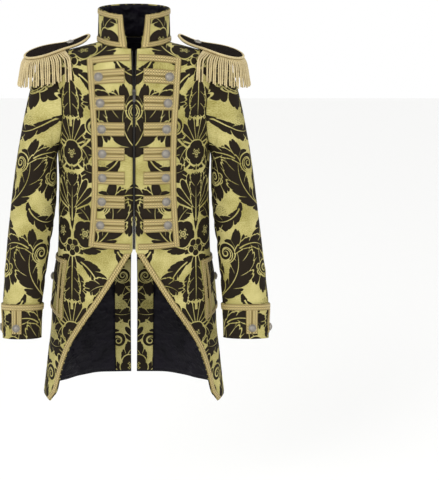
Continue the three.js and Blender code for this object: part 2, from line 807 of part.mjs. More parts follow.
/** A point a distance in from the cutaway (inwards 1) or from the vent (inwards -1). */
const fromEdge = (side, edgeAngle, inwards) => (z, distance, out) => {
  let height = z;
  let angle = inFrom(edgeAngle, height, inwards * distance);
  height = Math.max(z, hemZ(angle) + 0.6);
  angle = inFrom(edgeAngle, height, inwards * distance);
  return body(height, side * angle, out);
};

const hemRow = -900; // below the hem, so the last row follows the hem's own line
const ventBraid = { top: -437, width: 16 };
for (const { side, worn } of sides) {
  add(
    "cutaway_braid_" + worn,
    wall({
      rows: [...steps(waistZ - 9, -870, 15), hemRow],
      columns: [0.6, 0.6 + braid.width],
      at: fromEdge(side, cutawayAngle, 1),
      outer: braid.rise + 0.4 + braid.thick,
      inner: braid.rise + 0.4,
    }),
    goldBraid,
  );
  add(
    "vent_braid_" + worn,
    wall({
      rows: [...steps(ventBraid.top, -860, 13), hemRow],
      columns: [0.5, 0.5 + ventBraid.width],
      at: fromEdge(side, ventAngle, -1),
      outer: braid.rise + braid.thick,
      inner: braid.rise,
    }),
    goldBraid,
  );
  const onBack = (z, x, out) => body(z, side * (180 - angleAtX(x, z)), out);
  addButton("vent_button_" + worn, onBack, -424, 9.9, 0.2, 9.3);
}

// ---------------------------------------------------------------- inside the tails

// The lining has the panels' own columns, so the two run side by side over every fold.
const trunkRow = (z) => ({ kind: "trunk", z });
const liningRows = [...[waistZ - 4, -560, -640, -720, -800, -868].map(trunkRow), { kind: "hem" }];
const facing = { width: 45, top: -440, out: -cloth.wall - 1.6 };
const liningOut = -cloth.wall - 1.9;
const facedShare = (z) => {
  const [first, last] = [seamAngle(trunkRow(z), z, false), ventAngle(z)];
  return (inFrom(ventAngle, z, -facing.width - 1.5) - first) / (last - first);
};
const liningColumns = [
  ...steps(0, 1, 9).map((share, i) => ({ edges: frontEdges, share: i === 0 ? () => 0.02 : () => share })),
  ...steps(0, 1, 7).slice(1, 6).map((share) => ({ edges: backEdges, share: () => share })),
  { edges: backEdges, share: facedShare },
];
for (const { side, worn } of sides) {
  const onLining = (row, { edges, share }, out) => {
    const height = rowZ(row, 90);
    const raised = row.kind === "hem" ? trunkRow(height + 7) : row;
    return panelPoint(raised, share(height), out, edges, side);
  };
  add(
    "tail_lining_" + worn,
    wall({
      rows: liningRows,
      columns: liningColumns,
      at: onLining,
      outer: liningOut,
      inner: liningOut - cloth.lining,
    }),
    satin,
  );
  add(
    "vent_facing_" + worn,
    wall({
      rows: [facing.top, waistZ, -560, -640, -720, -800, -882],
      columns: [1, 1 + facing.width / 2, facing.width],
      at: fromEdge(side, ventAngle, -1),
      outer: facing.out,
      inner: facing.out - cloth.lining,
    }),
    brocade,
  );
}

// ---------------------------------------------------------------- pocket flaps

const pocket = { first: 56.5, last: 125, top: -521, corner: -675, middle: -655, rise: 0.8, thick: 1.8 };
const pocketShares = [0, 0.065, 0.09, 0.155, ...steps(0.27, 0.73, 4), 0.845, 0.91, 0.935, 1];
const pocketRows = [0, 0.08, 0.36, 0.64, 0.92, 1];
for (const { side, worn } of sides) {
  const onPocket = (down, share, out) => {
    const toEdge = Math.abs(2 * share - 1);
    const bottom = lerp(pocket.middle, pocket.corner, toEdge ** 1.4);
    const z = lerp(pocket.top, bottom, down);
    return body(z, side * lerp(pocket.first, pocket.last, share), out);
  };
  const flapOut = pocket.rise + pocket.thick;
  add(
    "pocket_flap_" + worn,
    wall({ rows: pocketRows, columns: pocketShares, at: onPocket, outer: flapOut, inner: pocket.rise }),
    brocade,
  );
  const last = pocketShares.length - 2;
  add(
    "pocket_braid_" + worn,
    wall({
      rows: pocketRows,
      columns: pocketShares,
      at: onPocket,
      outer: flapOut + 0.4 + braid.thick,
      inner: flapOut + 0.4,
      keep: (i, j) => i === 0 || i === pocketRows.length - 2 || [0, 2, last - 2, last].includes(j),
    }),
    goldBraid,
  );
  addButton("pocket_button_" + worn, onPocket, 0.43, 0.49, flapOut, 9.8);
}

// ---------------------------------------------------------------- epaulettes

const board = { neckX: 108, ridgeZ: -6.4, thick: 8, rise: 5.9, tilt: 12, cord: 3, cordGap: 0.35 };
const neckLift = { reach: 46, height: 7 }; // the strap's end curls up off the shoulder
// Half of the board's spoon outline: along it from the neck end, and out from its middle line.
const spoon = [
  { along: 2, half: 15 },
  { along: 13, half: 21.5 },
  { along: 38, half: 23 },
  { along: 60, half: 26 },
  { along: 80, half: 34.5 },
  { along: 100, half: 41.5 },
  { along: 119, half: 42.5 },
  { along: 137, half: 34.5 },
  { along: 148, half: 19 },
];
const spoonLine = new THREE.CatmullRomCurve3(
  [
    new THREE.Vector3(-3, 0, 0),
    ...spoon.map(({ along, half }) => new THREE.Vector3(along, -half, 0)),
    new THREE.Vector3(152, 0, 0),
    ...spoon.toReversed().map(({ along, half }) => new THREE.Vector3(along, half, 0)),
  ],
  true,
);
const outlineSteps = 26;
const shoulderSlope = Math.atan2(ring.half(-26) - ring.half(-8), 18);
const boardTilt = degToRad(board.tilt);

/** A point of the epaulette: where round its outline (0 to 1), how far out from it, how high. */
function outlinePoint(share, outwards, height) {
  const wrapped = ((share % 1) + 1) % 1;
  const point = spoonLine.getPoint(wrapped);
  const tangent = spoonLine.getTangent(wrapped);
  point.x += tangent.y * outwards;
  point.y -= tangent.x * outwards;
  return boardPoint(point.x, point.y, height);
}

/** The board's own frame: along the shoulder's ridge, across it and up from its underside. */
function boardPoint(along, across, height) {
  const lift = neckLift.height * clamp(1 - along / neckLift.reach, 0, 1.1) ** 2;
  const up = height + board.rise + lift;
  const tilted = new THREE.Vector3(
    along,
    across * Math.cos(boardTilt) - up * Math.sin(boardTilt),
    across * Math.sin(boardTilt) + up * Math.cos(boardTilt),
  );
  const fall = Math.PI / 2 - shoulderSlope;
  return new THREE.Vector3(
    board.neckX + tilted.x * Math.cos(fall) + tilted.z * Math.sin(fall),
    tilted.y,
    board.ridgeZ - tilted.x * Math.sin(fall) + tilted.z * Math.cos(fall),
  );
}

const fringe = { first: 0.2, strands: 27, radius: 2.1, drop: 63, backingTop: 1.7, backingFoot: -1.7 };
const reachLimits = { least: 19, most: 60, clear: 3.6 }; // how far a strand reaches out, and clears the cloth
const capX = 190; // the middle of the sleeve's cap in plan
const capOuterX = curve(sleeveRings, "outerZ", "outerX");

/** Whether a point beside the shoulder stands clear of the coat's body and of its sleeve's cap. */
function clearOfShoulder({ x, y, z }) {
  const depth = (y < 0 ? ring.front(z) : ring.back(z)) + reachLimits.clear;
  const half = ring.half(z) + reachLimits.clear;
  const square = ring.square(z);
  const fromBody = (x / half) ** square + (Math.abs(y) / depth) ** square;
  const armholeShare = clamp((z - armholeMiddle) / armholeHalf, -1, 1);
  const capDepth = armhole.halfDepth * Math.sqrt(1 - armholeShare ** 2) + 6 + reachLimits.clear;
  const capHalf = capOuterX(z) - capX + reachLimits.clear;
  const fromCap = Math.max(0, (x - capX) / capHalf) ** 2 + (y / capDepth) ** 2;
  return fromBody > 1 && fromCap > 1;
}

/** How far out a strand must reach from its root before it can hang straight down. */
function reachOf(root, outwards, drop) {
  for (let reach = reachLimits.least; reach < reachLimits.most; reach++) {
    const heights = [0.45, 0.7, 1].map((share) => root.z - share * drop);
    const there = root.clone().addScaledVector(outwards, reach);
    if (heights.every((z) => clearOfShoulder(there.clone().setZ(z)))) return reach;
  }
  return reachLimits.most;
}

const flip = (side, point) => new THREE.Vector3(side * point.x, point.y, point.z);

for (const { side, worn } of sides) {
  const outline = steps(0, 1, outlineSteps).slice(0, -1);
  const topAndFoot = [board.thick, 0].flatMap((height) =>
    outline.map((share) => flip(side, outlinePoint(share, 0, height))),
  );
  const boardFaces = [];
  // Bands across the board, each between two points of one edge and the two across from them.
  for (let i = 0; i < outlineSteps / 2; i++) {
    const [a, b, c, d] = [i, i + 1, outlineSteps - i - 1, (outlineSteps - i) % outlineSteps];
    const band = [[a, b, c], [a, c, d]].filter((face) => new Set(face).size === 3);
    for (const [p, q, r] of band)
      boardFaces.push([p, q, r], [r + outlineSteps, q + outlineSteps, p + outlineSteps]);
  }
  outline.forEach((_, i) => {
    const next = (i + 1) % outlineSteps;
    boardFaces.push([next, i, i + outlineSteps], [next, i + outlineSteps, next + outlineSteps]);
  });
  add("epaulette_board_" + worn, closedGeometry(topAndFoot, boardFaces), felt);

  const cordOut = board.cord + board.cordGap;
  const cordPath = outline.map((share) =>
    flip(side, outlinePoint(share, cordOut, board.thick - board.cord)),
  );
  add("epaulette_cord_" + worn, tube(cordPath, board.cord, 5, true), paleCord);

  // Strands are fused to the strip that hangs under the board's outer edge.
  const backing = wall({
    rows: outline.filter((share) => share > 0.19 && share < 0.81),
    columns: [fringe.backingTop, fringe.backingFoot],
    at: (share, height, out) => flip(side, outlinePoint(share, out, height)),
    outer: 2.5,
    inner: 0.4,
  });
  const strands = steps(fringe.first, 1 - fringe.first, fringe.strands - 1).map((share, i) => {
    const root = outlinePoint(share, 1.4, (fringe.backingTop + fringe.backingFoot) / 2);
    const outwards = outlinePoint(share, 10, 0).sub(outlinePoint(share, 0, 0));
    outwards.z = 0;
    outwards.normalize();
    const drop = fringe.drop + 3 * Math.sin(i * 2.4);
    const reach = reachOf(root, outwards, drop);
    const path = [
      [0, 0],
      [reach * 0.6, -7],
      [reach, -drop * 0.4],
      [reach + 2, -drop],
    ].map(([away, down]) => {
      const point = root.clone().addScaledVector(outwards, away);
      point.z += down;
      return flip(side, point);
    });
    return tube(path, fringe.radius, 3);
  });
  add("epaulette_fringe_" + worn, joined([backing, ...strands]), paleCord);

  const onBoard = (along, across, out) => flip(side, boardPoint(along, across, board.thick + out));
  addButton("epaulette_button_" + worn, onBoard, 41, 0, 0.5, 9);
}

export default coat;
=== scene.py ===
# %% [markdown]
# # A brocade tailcoat
# The coat is a stage and parade coat: a fitted body of figured brocade, cut away in front into two
# tails, with a stand collar, a zip, seven double bars of gold braid on each breast, turned-back
# cuffs and fringed epaulettes. It is filled out as if it were worn, and hollow.
# The rigid model is loaded first. Each piece below stands on it, in the same frame: +Z is up, -Y is
# the front and +X is the wearer's left. Sizes are in millimetres until a mesh is made from them.

# %% Load the model
import json
import math

import bmesh
import bpy
import numpy as np
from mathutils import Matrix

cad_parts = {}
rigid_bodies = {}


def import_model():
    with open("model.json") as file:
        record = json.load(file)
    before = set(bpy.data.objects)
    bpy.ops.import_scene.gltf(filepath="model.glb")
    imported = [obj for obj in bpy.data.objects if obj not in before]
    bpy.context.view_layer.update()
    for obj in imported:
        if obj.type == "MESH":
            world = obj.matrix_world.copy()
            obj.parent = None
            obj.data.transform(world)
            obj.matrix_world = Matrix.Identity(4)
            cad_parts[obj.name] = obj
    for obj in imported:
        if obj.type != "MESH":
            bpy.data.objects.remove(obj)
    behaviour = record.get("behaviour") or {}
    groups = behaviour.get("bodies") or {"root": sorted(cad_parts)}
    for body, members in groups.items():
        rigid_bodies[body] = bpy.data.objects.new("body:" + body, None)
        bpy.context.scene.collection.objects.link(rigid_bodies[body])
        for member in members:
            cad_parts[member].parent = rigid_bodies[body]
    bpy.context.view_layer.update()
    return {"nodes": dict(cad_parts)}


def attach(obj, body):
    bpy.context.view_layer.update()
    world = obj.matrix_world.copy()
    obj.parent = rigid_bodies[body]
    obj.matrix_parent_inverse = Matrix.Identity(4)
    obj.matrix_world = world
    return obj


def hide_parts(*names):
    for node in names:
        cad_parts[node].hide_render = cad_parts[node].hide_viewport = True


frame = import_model()
MM = 0.001
SIDES = {"left": 1, "right": -1}
print("nodes in the model:", len(frame["nodes"]))

# %% [markdown]
# ## Camera
# A catalogue picture is taken from a few metres off with a long lens, a little above the shoulders
# and tilted down, so that the hem of the tails curves and the inside of the collar shows.
# The lens could be moved to frame the coat, but a small sideways shift keeps its two sides alike.

# %% Camera
camera_data = bpy.data.cameras.new("camera")
camera_data.lens = 77.25
camera_data.sensor_width = 36
camera_data.shift_x = 0.178
camera = bpy.data.objects.new("camera", camera_data)
camera.location = (0, -2.5, 0.1)
camera.rotation_euler = (math.radians(90 - 13.2), 0, 0)
bpy.context.collection.objects.link(camera)
bpy.context.scene.camera = camera

# %% [markdown]
# ## Studio
# A pale floor and a white room give the even light of a catalogue picture. One large soft lamp in
# front and to the left rounds the sleeves, and a weaker one on the right keeps the shade open.
# A wide lamp gives soft edges to shade; a small one would draw hard lines on every fold.

# %% Floor, room and lamps
FLOOR_Z = -1.45


def plain_material(name, color, roughness):
    """A material of one Principled shader, ready to be given its nodes."""
    material = bpy.data.materials.new(name)
    material.use_nodes = True
    shader = material.node_tree.nodes["Principled BSDF"]
    shader.inputs["Base Color"].default_value = (*color, 1)
    shader.inputs["Roughness"].default_value = roughness
    return material, shader


def studio_floor():
    """A floor wide enough to reach the horizon of every view."""
    reach = 14
    corners = [(-reach, -reach), (reach, -reach), (reach, reach), (-reach, reach)]
    mesh = bpy.data.meshes.new("floor")
    mesh.from_pydata([(x, y, FLOOR_Z) for x, y in corners], [], [(0, 1, 2, 3)])
    material, _ = plain_material("floor", (0.93, 0.93, 0.92), 0.85)
    mesh.materials.append(material)
    floor = bpy.data.objects.new("floor", mesh)
    bpy.context.collection.objects.link(floor)


def soft_lamp(name, place, target, size, watts):
    """A square lamp that looks at a point."""
    data = bpy.data.lights.new(name, "AREA")
    data.size = size
    data.energy = watts
    lamp = bpy.data.objects.new(name, data)
    lamp.location = place
    toward = np.array(target) - np.array(place)
    yaw = math.atan2(-toward[0], toward[1])
    pitch = math.atan2(toward[2], math.hypot(toward[0], toward[1]))
    lamp.rotation_euler = (pitch + math.pi / 2, 0, yaw)
    bpy.context.collection.objects.link(lamp)


studio_floor()
soft_lamp("key_lamp", (-2.0, -3.2, 1.6), (0, 0, -0.4), 1.8, 60)
soft_lamp("fill_lamp", (2.6, -2.6, 0.4), (0, 0, -0.4), 2.0, 18)
world = bpy.data.worlds.new("room")
world.use_nodes = True
world.node_tree.nodes["Background"].inputs["Color"].default_value = (1, 1, 1, 1)
world.node_tree.nodes["Background"].inputs["Strength"].default_value = 1.0
bpy.context.scene.world = world
bpy.context.scene.view_settings.view_transform = "Standard"

# %% [markdown]
# ## Writing nodes as sums
# A pattern is a long sum of small steps. Placing each Math node by hand hides what is worked out,
# so a small class lets Python's own + - * / place the nodes, and a sum reads as a sum.

# %% Numbers that a node tree works out


class Number:
    """A number that changes over a surface, held as a socket of a node tree."""

    def __init__(self, tree, socket):
        self.tree = tree
        self.socket = socket

    def plug(self, value, slot):
        """Joins a Number or sets a plain number on a node's input."""
        if isinstance(value, Number):
            self.tree.links.new(value.socket, slot)
        else:
            slot.default_value = value

    def math(self, operation, *values):
        node = self.tree.nodes.new("ShaderNodeMath")
        node.operation = operation
        for value, slot in zip(values, node.inputs):
            self.plug(value, slot)
        return Number(self.tree, node.outputs[0])

    def __add__(self, other):
        return self.math("ADD", self, other)

    def __sub__(self, other):
        return self.math("SUBTRACT", self, other)

    def __rsub__(self, other):
        return self.math("SUBTRACT", other, self)

    def __mul__(self, other):
        return self.math("MULTIPLY", self, other)

    def __truediv__(self, other):
        return self.math("DIVIDE", self, other)

    def __pow__(self, other):
        return self.math("POWER", self, other)

    def size(self):
        return self.math("ABSOLUTE", self)

    def fraction(self):
        return self.math("FRACT", self)

    def wave(self):
        return self.math("SINE", self)

    def held(self):
        """The number held between 0 and 1, by a node of its own so that shaders stay small."""
        node = self.tree.nodes.new("ShaderNodeClamp")
        self.plug(self, node.inputs["Value"])
        return Number(self.tree, node.outputs[0])

    def most(self, other):
        return self.math("MAXIMUM", self, other)

    def least(self, other):
        return self.math("MINIMUM", self, other)

    def bump_of_parts(self):
        """0 at both ends of each whole step and 1 in its middle."""
        part = self.fraction()
        return part * (1 - part) * 4


def new_group(name, inputs, outputs):
    """A node group with named number inputs; outputs names each output and its kind."""
    tree = bpy.data.node_groups.new(name, "ShaderNodeTree")
    for label, value in inputs.items():
        vector = isinstance(value, tuple)
        kind = "NodeSocketVector" if vector else "NodeSocketFloat"
        socket = tree.interface.new_socket(label, in_out="INPUT", socket_type=kind)
        socket.default_value = value
    for label, kind in outputs.items():
        tree.interface.new_socket(label, in_out="OUTPUT", socket_type="NodeSocket" + kind)
    start = tree.nodes.new("NodeGroupInput")
    given = {label: Number(tree, start.outputs[label]) for label in inputs}
    return tree, given, tree.nodes.new("NodeGroupOutput")


def place_group(tree, group, **values):
    """A node group placed in a tree; its inputs are named with _ for a space."""
    node = tree.nodes.new("ShaderNodeGroup")
    node.node_tree = group
    for label, value in values.items():
        slot = node.inputs[label.replace("_", " ")]
        if isinstance(value, Number):
            tree.links.new(value.socket, slot)
        else:
            slot.default_value = value
    return node


# %% [markdown]
# ## The brocade's figure
# A brocade of this kind has a figure in dark weft on a gold ground: acanthus leaves, palmettes,
# scrolls, round blooms and small rosettes, mirrored left and right of upright axes.
# It could be painted as a picture, but a picture blurs close up. Here each motif is a node group
# that works out its own outline and veins, so the edge stays crisp at any distance.
# A later motif lies over an earlier one with a thin line of ground between them, as weavers do.

# %% Sizes of the repeat
HALF_REPEAT = 240.0  # between two mirror axes
REPEAT = 450.0  # up the cloth
EDGE = 0.6  # how fast an outline turns from ground to figure
PLACE = {"U": 0.0, "V": 0.0, "At U": 0.0, "At V": 0.0, "Turn": 0.0}
FIGURE = {"Dark": "Float", "Around": "Float"}


def local_place(given):
    """The motif's own along and across, from where it lies in the repeat and how it is turned."""
    from_u = given["U"] - given["At U"]
    from_v = given["U"].math("WRAP", given["V"] - given["At V"], REPEAT / 2, -REPEAT / 2)
    turned = given["Turn"]
    cos, sin = turned.math("COSINE", turned), turned.math("SINE", turned)
    along = from_u * cos + from_v * sin
    across = from_v * cos - from_u * sin
    return along, across


def give_figure(tree, end, inside, light):
    """Outputs of a motif: inside is millimetres within its outline, light is 1 on its veins."""
    dark = (inside / EDGE).held() * (1 - light)
    around = ((inside + 2.7) / EDGE).held()
    tree.links.new(dark.socket, end.inputs["Dark"])
    tree.links.new(around.socket, end.inputs["Around"])


# %% Acanthus leaf
def leaf_group():
    """A leaf that curls along an arc, with round swept lobes, a midrib and a line in each notch."""
    sizes = {"Length": 90.0, "Half": 26.0, "Lobes": 6.0, "Sweep": 1.0, "Hand": 1.0, "Inner": 0.6}
    tree, given, end = new_group("Acanthus leaf", {**PLACE, **sizes}, FIGURE)
    along, across = local_place(given)
    radius = given["Length"] / given["Sweep"]
    level = radius - across * given["Hand"]
    share = along.math("ARCTAN2", along, level) / given["Sweep"]
    bent = radius - (along * along + level * level) ** 0.5
    is_inner = bent.math("GREATER_THAN", bent, 0)
    half = given["Half"] * (1 - is_inner * (1 - given["Inner"]))
    out = bent.size() / half
    swept = share - out * 0.2
    place = (swept + 0.16).held()
    envelope = place**0.62 * (1 - place**6) ** 0.5
    steps = swept * given["Lobes"]
    lobe = steps.bump_of_parts() ** 0.5
    small = (steps * 3).bump_of_parts() ** 0.5
    inside = (envelope * (lobe * 0.42 + small * 0.14 + 0.46) - out) * half
    inside = inside.least((1 - share) * given["Length"] + 2).least((share + 0.16) * given["Length"])
    rib = ((1.0 - share) * 2.0 - bent.size()).least(share * 30) / 0.5
    near_notch = 0.5 - (steps.fraction() - 0.5).size()
    vein = (1.0 - near_notch * given["Length"] / given["Lobes"]) / 0.6
    vein = vein.held() * ((envelope * 0.95 - out) * 6).held() * ((out - 0.16) * 9).held()
    give_figure(tree, end, inside, rib.held().most(vein))
    return tree


# %% Palmette, bloom, rosette, scroll and stamens
def palmette_group():
    """A fan of curved strokes, each parted from the next by a line of ground."""
    sizes = {"Length": 60.0, "Spread": 1.2, "Lobes": 7.0, "Twist": 0.0}
    tree, given, end = new_group("Palmette", {**PLACE, **sizes}, FIGURE)
    along, across = local_place(given)
    radius = (along * along + across * across) ** 0.5
    twist = given["Twist"] * radius / given["Length"]
    angle = (along.math("ARCTAN2", across, along) - twist) / given["Spread"]
    steps = (angle + 1) * 0.5 * given["Lobes"]
    lobe = steps.bump_of_parts() ** 0.5
    reach = (1 - angle * angle * 0.55).most(0) ** 0.6
    inside = reach * given["Length"] * (lobe * 0.32 + 0.68) - radius
    inside = inside.least((1 - angle.size()) * radius)
    near_notch = 0.5 - (steps.fraction() - 0.5).size()
    width = near_notch * radius * given["Spread"] * 2 / given["Lobes"]
    light = ((1.1 - width) / 0.5).held() * ((radius / given["Length"] - 0.14) * 9).held()
    give_figure(tree, end, inside, light)
    return tree


def bloom_group():
    """A round dark bloom with a lacy light heart."""
    tree, given, end = new_group("Bloom", {**PLACE, "Length": 30.0}, FIGURE)
    along, across = local_place(given)
    radius = (along * along + across * across) ** 0.5 / given["Length"]
    angle = along.math("ARCTAN2", across, along)
    lobes = (angle * 2.5).wave().size() ** 0.6
    inside = (lobes * 0.16 + 0.84 - radius) * given["Length"]
    heart = radius - ((angle * 4.5).wave() * 0.12 + 0.36)
    rays = (angle * 13).wave() * 0.5 + 0.35 + (radius * 40).wave() * 0.5
    light = (0 - heart * 14).held() * rays.held()
    ring = (1 - (radius - 0.17).size() * 22).held()
    give_figure(tree, end, inside, light.most(ring))
    return tree


def rosette_group():
    """Five petals round an eye."""
    tree, given, end = new_group("Rosette", {**PLACE, "Length": 14.0}, FIGURE)
    along, across = local_place(given)
    radius = (along * along + across * across) ** 0.5
    steps = along.math("ARCTAN2", across, along) * (5 / math.tau) + 5
    petal = steps.bump_of_parts() ** 0.5
    inside = (petal * 0.4 + 0.6) * given["Length"] - radius
    near_notch = 0.5 - (steps.fraction() - 0.5).size()
    light = ((0.7 - near_notch * radius * (math.tau / 5)) / 0.5).held()
    eye = (1 - ((radius / given["Length"] - 0.27).size() * 12)).held()
    give_figure(tree, end, inside, light.most(eye))
    return tree


def scroll_group():
    """A volute: a band that winds into a round end. Hand is 1 or -1."""
    tree, given, end = new_group("Scroll", {**PLACE, "Length": 22.0, "Hand": 1.0}, FIGURE)
    along, across = local_place(given)
    share = (along * along + across * across) ** 0.5 / given["Length"]
    turns = along.math("ARCTAN2", across, along) * given["Hand"] / math.tau
    wound = share.math("LOGARITHM", share.most(0.01), math.e) / 1.0
    band = 0.3 - ((wound + turns).fraction() - 0.5).size()
    inside = (band * share * 1.3).most(0.2 - share).least(1 - share) * given["Length"]
    give_figure(tree, end, inside, inside.math("MULTIPLY", 0, 0))
    return tree


def stamen_group():
    """Small dark dots scattered in a round patch."""
    tree, given, end = new_group("Stamens", {**PLACE, "Length": 24.0}, FIGURE)
    along, across = local_place(given)
    place = tree.nodes.new("ShaderNodeCombineXYZ")
    tree.links.new(given["U"].socket, place.inputs[0])
    tree.links.new(given["V"].socket, place.inputs[1])
    cells = tree.nodes.new("ShaderNodeTexVoronoi")
    cells.voronoi_dimensions = "2D"
    cells.inputs["Scale"].default_value = 0.22
    cells.inputs["Randomness"].default_value = 0.7
    tree.links.new(place.outputs[0], cells.inputs["Vector"])
    dots = (0.27 - Number(tree, cells.outputs["Distance"])) * 4.5
    radius = (along * along + across * across) ** 0.5
    inside = dots.least(given["Length"] - radius)
    give_figure(tree, end, inside, inside.math("MULTIPLY", 0, 0))
    return tree


LEAF = leaf_group()
PALMETTE = palmette_group()
BLOOM = bloom_group()
ROSETTE = rosette_group()
SCROLL = scroll_group()
STAMENS = stamen_group()

# %% [markdown]
# ### Laying out the repeat
# The motifs are set out once, round one mirror axis (u = 0). A motif on the axis is mirrored into a
# whole one. The other axis (u = 240) carries the same group half a repeat higher, turned over,
# so large curling leaves swing across from one axis to the other, as in many old damasks.

# %% The repeat's own layout
# name, u, v, turn in degrees, length, then what the motif needs more
CLUSTER = [
    ("leaf", 236, -34, 158, 104, {"Half": 34, "Lobes": 4, "Sweep": 1.7, "Hand": -1, "Inner": 0.6}),
    ("leaf", 234, 26, 196, 92, {"Half": 30, "Lobes": 4, "Sweep": 1.5, "Hand": 1, "Inner": 0.6}),
    ("palmette", 240, 16, 90, 76, {"Spread": 1.2, "Lobes": 7, "Twist": 0.0}),
    ("bloom", 240, 0, 0, 30, {}),
    ("stamens", 170, -24, 0, 20, {}),
    ("leaf", 118, -8, -66, 120, {"Half": 36, "Lobes": 4, "Sweep": 1.9, "Hand": 1, "Inner": 0.7}),
    ("palmette", 92, -112, -60, 74, {"Spread": 0.8, "Lobes": 7, "Twist": -0.8}),
    ("leaf", 24, -40, -28, 206, {"Half": 54, "Lobes": 6, "Sweep": 2.1, "Hand": -1, "Inner": 0.5}),
    ("leaf", 22, -8, 4, 232, {"Half": 54, "Lobes": 7, "Sweep": 2.5, "Hand": 1, "Inner": 0.6}),
    ("leaf", 44, 8, 58, 132, {"Half": 32, "Lobes": 5, "Sweep": 2.2, "Hand": 1, "Inner": 0.8}),
    ("palmette", 0, 84, 90, 96, {"Spread": 1.15, "Lobes": 9, "Twist": 0.0}),
    ("leaf", 0, 58, 90, 136, {"Half": 26, "Lobes": 5, "Sweep": 0.02, "Hand": 1, "Inner": 1.0}),
    ("bloom", 37, 30, 20, 34, {}),
    ("leaf", 8, -70, -40, 84, {"Half": 26, "Lobes": 4, "Sweep": 1.8, "Hand": -1, "Inner": 0.8}),
    ("leaf", 0, -22, -90, 136, {"Half": 30, "Lobes": 5, "Sweep": 0.02, "Hand": 1, "Inner": 1.0}),
    ("rosette", 0, -6, 90, 22, {}),
    ("scroll", 76, 104, 200, 24, {"Hand": 1}),
    ("rosette", 168, 66, 40, 16, {}),
    ("leaf", 112, 116, 40, 104, {"Half": 32, "Lobes": 4, "Sweep": 1.8, "Hand": -1, "Inner": 0.6}),
    ("scroll", 62, -158, 20, 20, {"Hand": -1}),
]


def turned_over(name, u, v, turn, length, more):
    """The same motif on the other axis, half a repeat up."""
    more = {label: -value if label in ("Hand", "Twist") else value for label, value in more.items()}
    return name, HALF_REPEAT - u, v + REPEAT / 2, 180 - turn, length, more


LAYOUT = [place for motif in CLUSTER for place in (motif, turned_over(*motif))]
MOTIFS = {
    "leaf": LEAF,
    "palmette": PALMETTE,
    "bloom": BLOOM,
    "rosette": ROSETTE,
    "scroll": SCROLL,
    "stamens": STAMENS,
}


def figure_group():
    """The whole figure of the brocade, from a place on the cloth in metres."""
    tree, given, end = new_group("Brocade figure", {"Cloth": (0.0, 0.0, 0.0)}, {"Dark": "Float"})
    parts = tree.nodes.new("ShaderNodeSeparateXYZ")
    tree.links.new(given["Cloth"].socket, parts.inputs[0])
    across = Number(tree, parts.outputs[0]) * 1000
    up = Number(tree, parts.outputs[1]) * 1000
    mirrored = across.math("PINGPONG", across, HALF_REPEAT)
    dark = None
    for name, u, v, turn, length, more in LAYOUT:
        sizes = {"At_U": u, "At_V": v, "Turn": math.radians(turn), "Length": length, **more}
        motif = place_group(tree, MOTIFS[name], U=mirrored, V=up, **sizes)
        own = Number(tree, motif.outputs["Dark"])
        around = Number(tree, motif.outputs["Around"])
        dark = own if dark is None else (dark * (1 - around)).most(own)
    tree.links.new(dark.socket, end.inputs["Dark"])
    return tree


FIGURE_GROUP = figure_group()
print("motifs in a half repeat:", len(LAYOUT))

# %% [markdown]
# ## Shared finishes
# Cloth is never one even colour: dye takes unevenly and edges rub. One group of
# soft noise gives every material its slow change of tone, and one group of crossed ribs gives the
# threads their height; the brocade and the zip tape also use that height for a painted highlight on
# the proud threads. Both could be drawn again in each material, but then a change to one
# would be forgotten in the next.

# %% Uneven shade and thread height
def uneven_group():
    """Slow and quick change of shade, each from 0 to 1."""
    inputs = {"Place": (0.0, 0.0, 0.0), "Slow": 9.0, "Quick": 160.0}
    tree, given, end = new_group("Uneven shade", inputs, {"Slow": "Float", "Quick": "Float"})
    for label in ("Slow", "Quick"):
        noise = tree.nodes.new("ShaderNodeTexNoise")
        noise.inputs["Detail"].default_value = 3
        tree.links.new(given["Place"].socket, noise.inputs["Vector"])
        tree.links.new(given[label].socket, noise.inputs["Scale"])
        tree.links.new(noise.outputs["Fac"], end.inputs[label])
    return tree


def thread_group():
    """Height of threads that run both ways across a flat map in metres."""
    inputs = {"Cloth": (0.0, 0.0, 0.0), "Pitch": 0.0011, "Cross": 0.0016}
    tree, given, end = new_group("Thread height", inputs, {"Height": "Float"})
    parts = tree.nodes.new("ShaderNodeSeparateXYZ")
    tree.links.new(given["Cloth"].socket, parts.inputs[0])
    across = Number(tree, parts.outputs[0]) / given["Cross"]
    up = Number(tree, parts.outputs[1]) / given["Pitch"]
    row = up.math("FLOOR", up) * 0.5
    height = up.bump_of_parts() * 0.6 + (across + row).bump_of_parts() * 0.4
    tree.links.new(height.socket, end.inputs["Height"])
    return tree


UNEVEN = uneven_group()
THREADS = thread_group()


def place_on(tree, source, name="Cloth"):
    """Where a point lies: on a named flat map, or in the coat's own space."""
    if source == "map":
        node = tree.nodes.new("ShaderNodeUVMap")
        node.uv_map = name
        return Number(tree, node.outputs["UV"])
    node = tree.nodes.new("ShaderNodeTexCoord")
    return Number(tree, node.outputs["Object"])


def mixed(tree, share, first, second):
    """A colour between two, each a colour or a socket."""
    mix = tree.nodes.new("ShaderNodeMix")
    mix.data_type = "RGBA"
    for value, slot in ((first, mix.inputs["A"]), (second, mix.inputs["B"])):
        if isinstance(value, tuple):
            slot.default_value = (*value, 1)
        else:
            tree.links.new(value, slot)
    tree.links.new(share.socket, mix.inputs["Factor"])
    return mix.outputs["Result"]


def bump_from(tree, shader, height, distance, strength=1.0):
    """Joins a height to the shader's normal."""
    bump = tree.nodes.new("ShaderNodeBump")
    bump.inputs["Distance"].default_value = distance
    bump.inputs["Strength"].default_value = strength
    tree.links.new(height.socket, bump.inputs["Height"])
    tree.links.new(bump.outputs["Normal"], shader.inputs["Normal"])
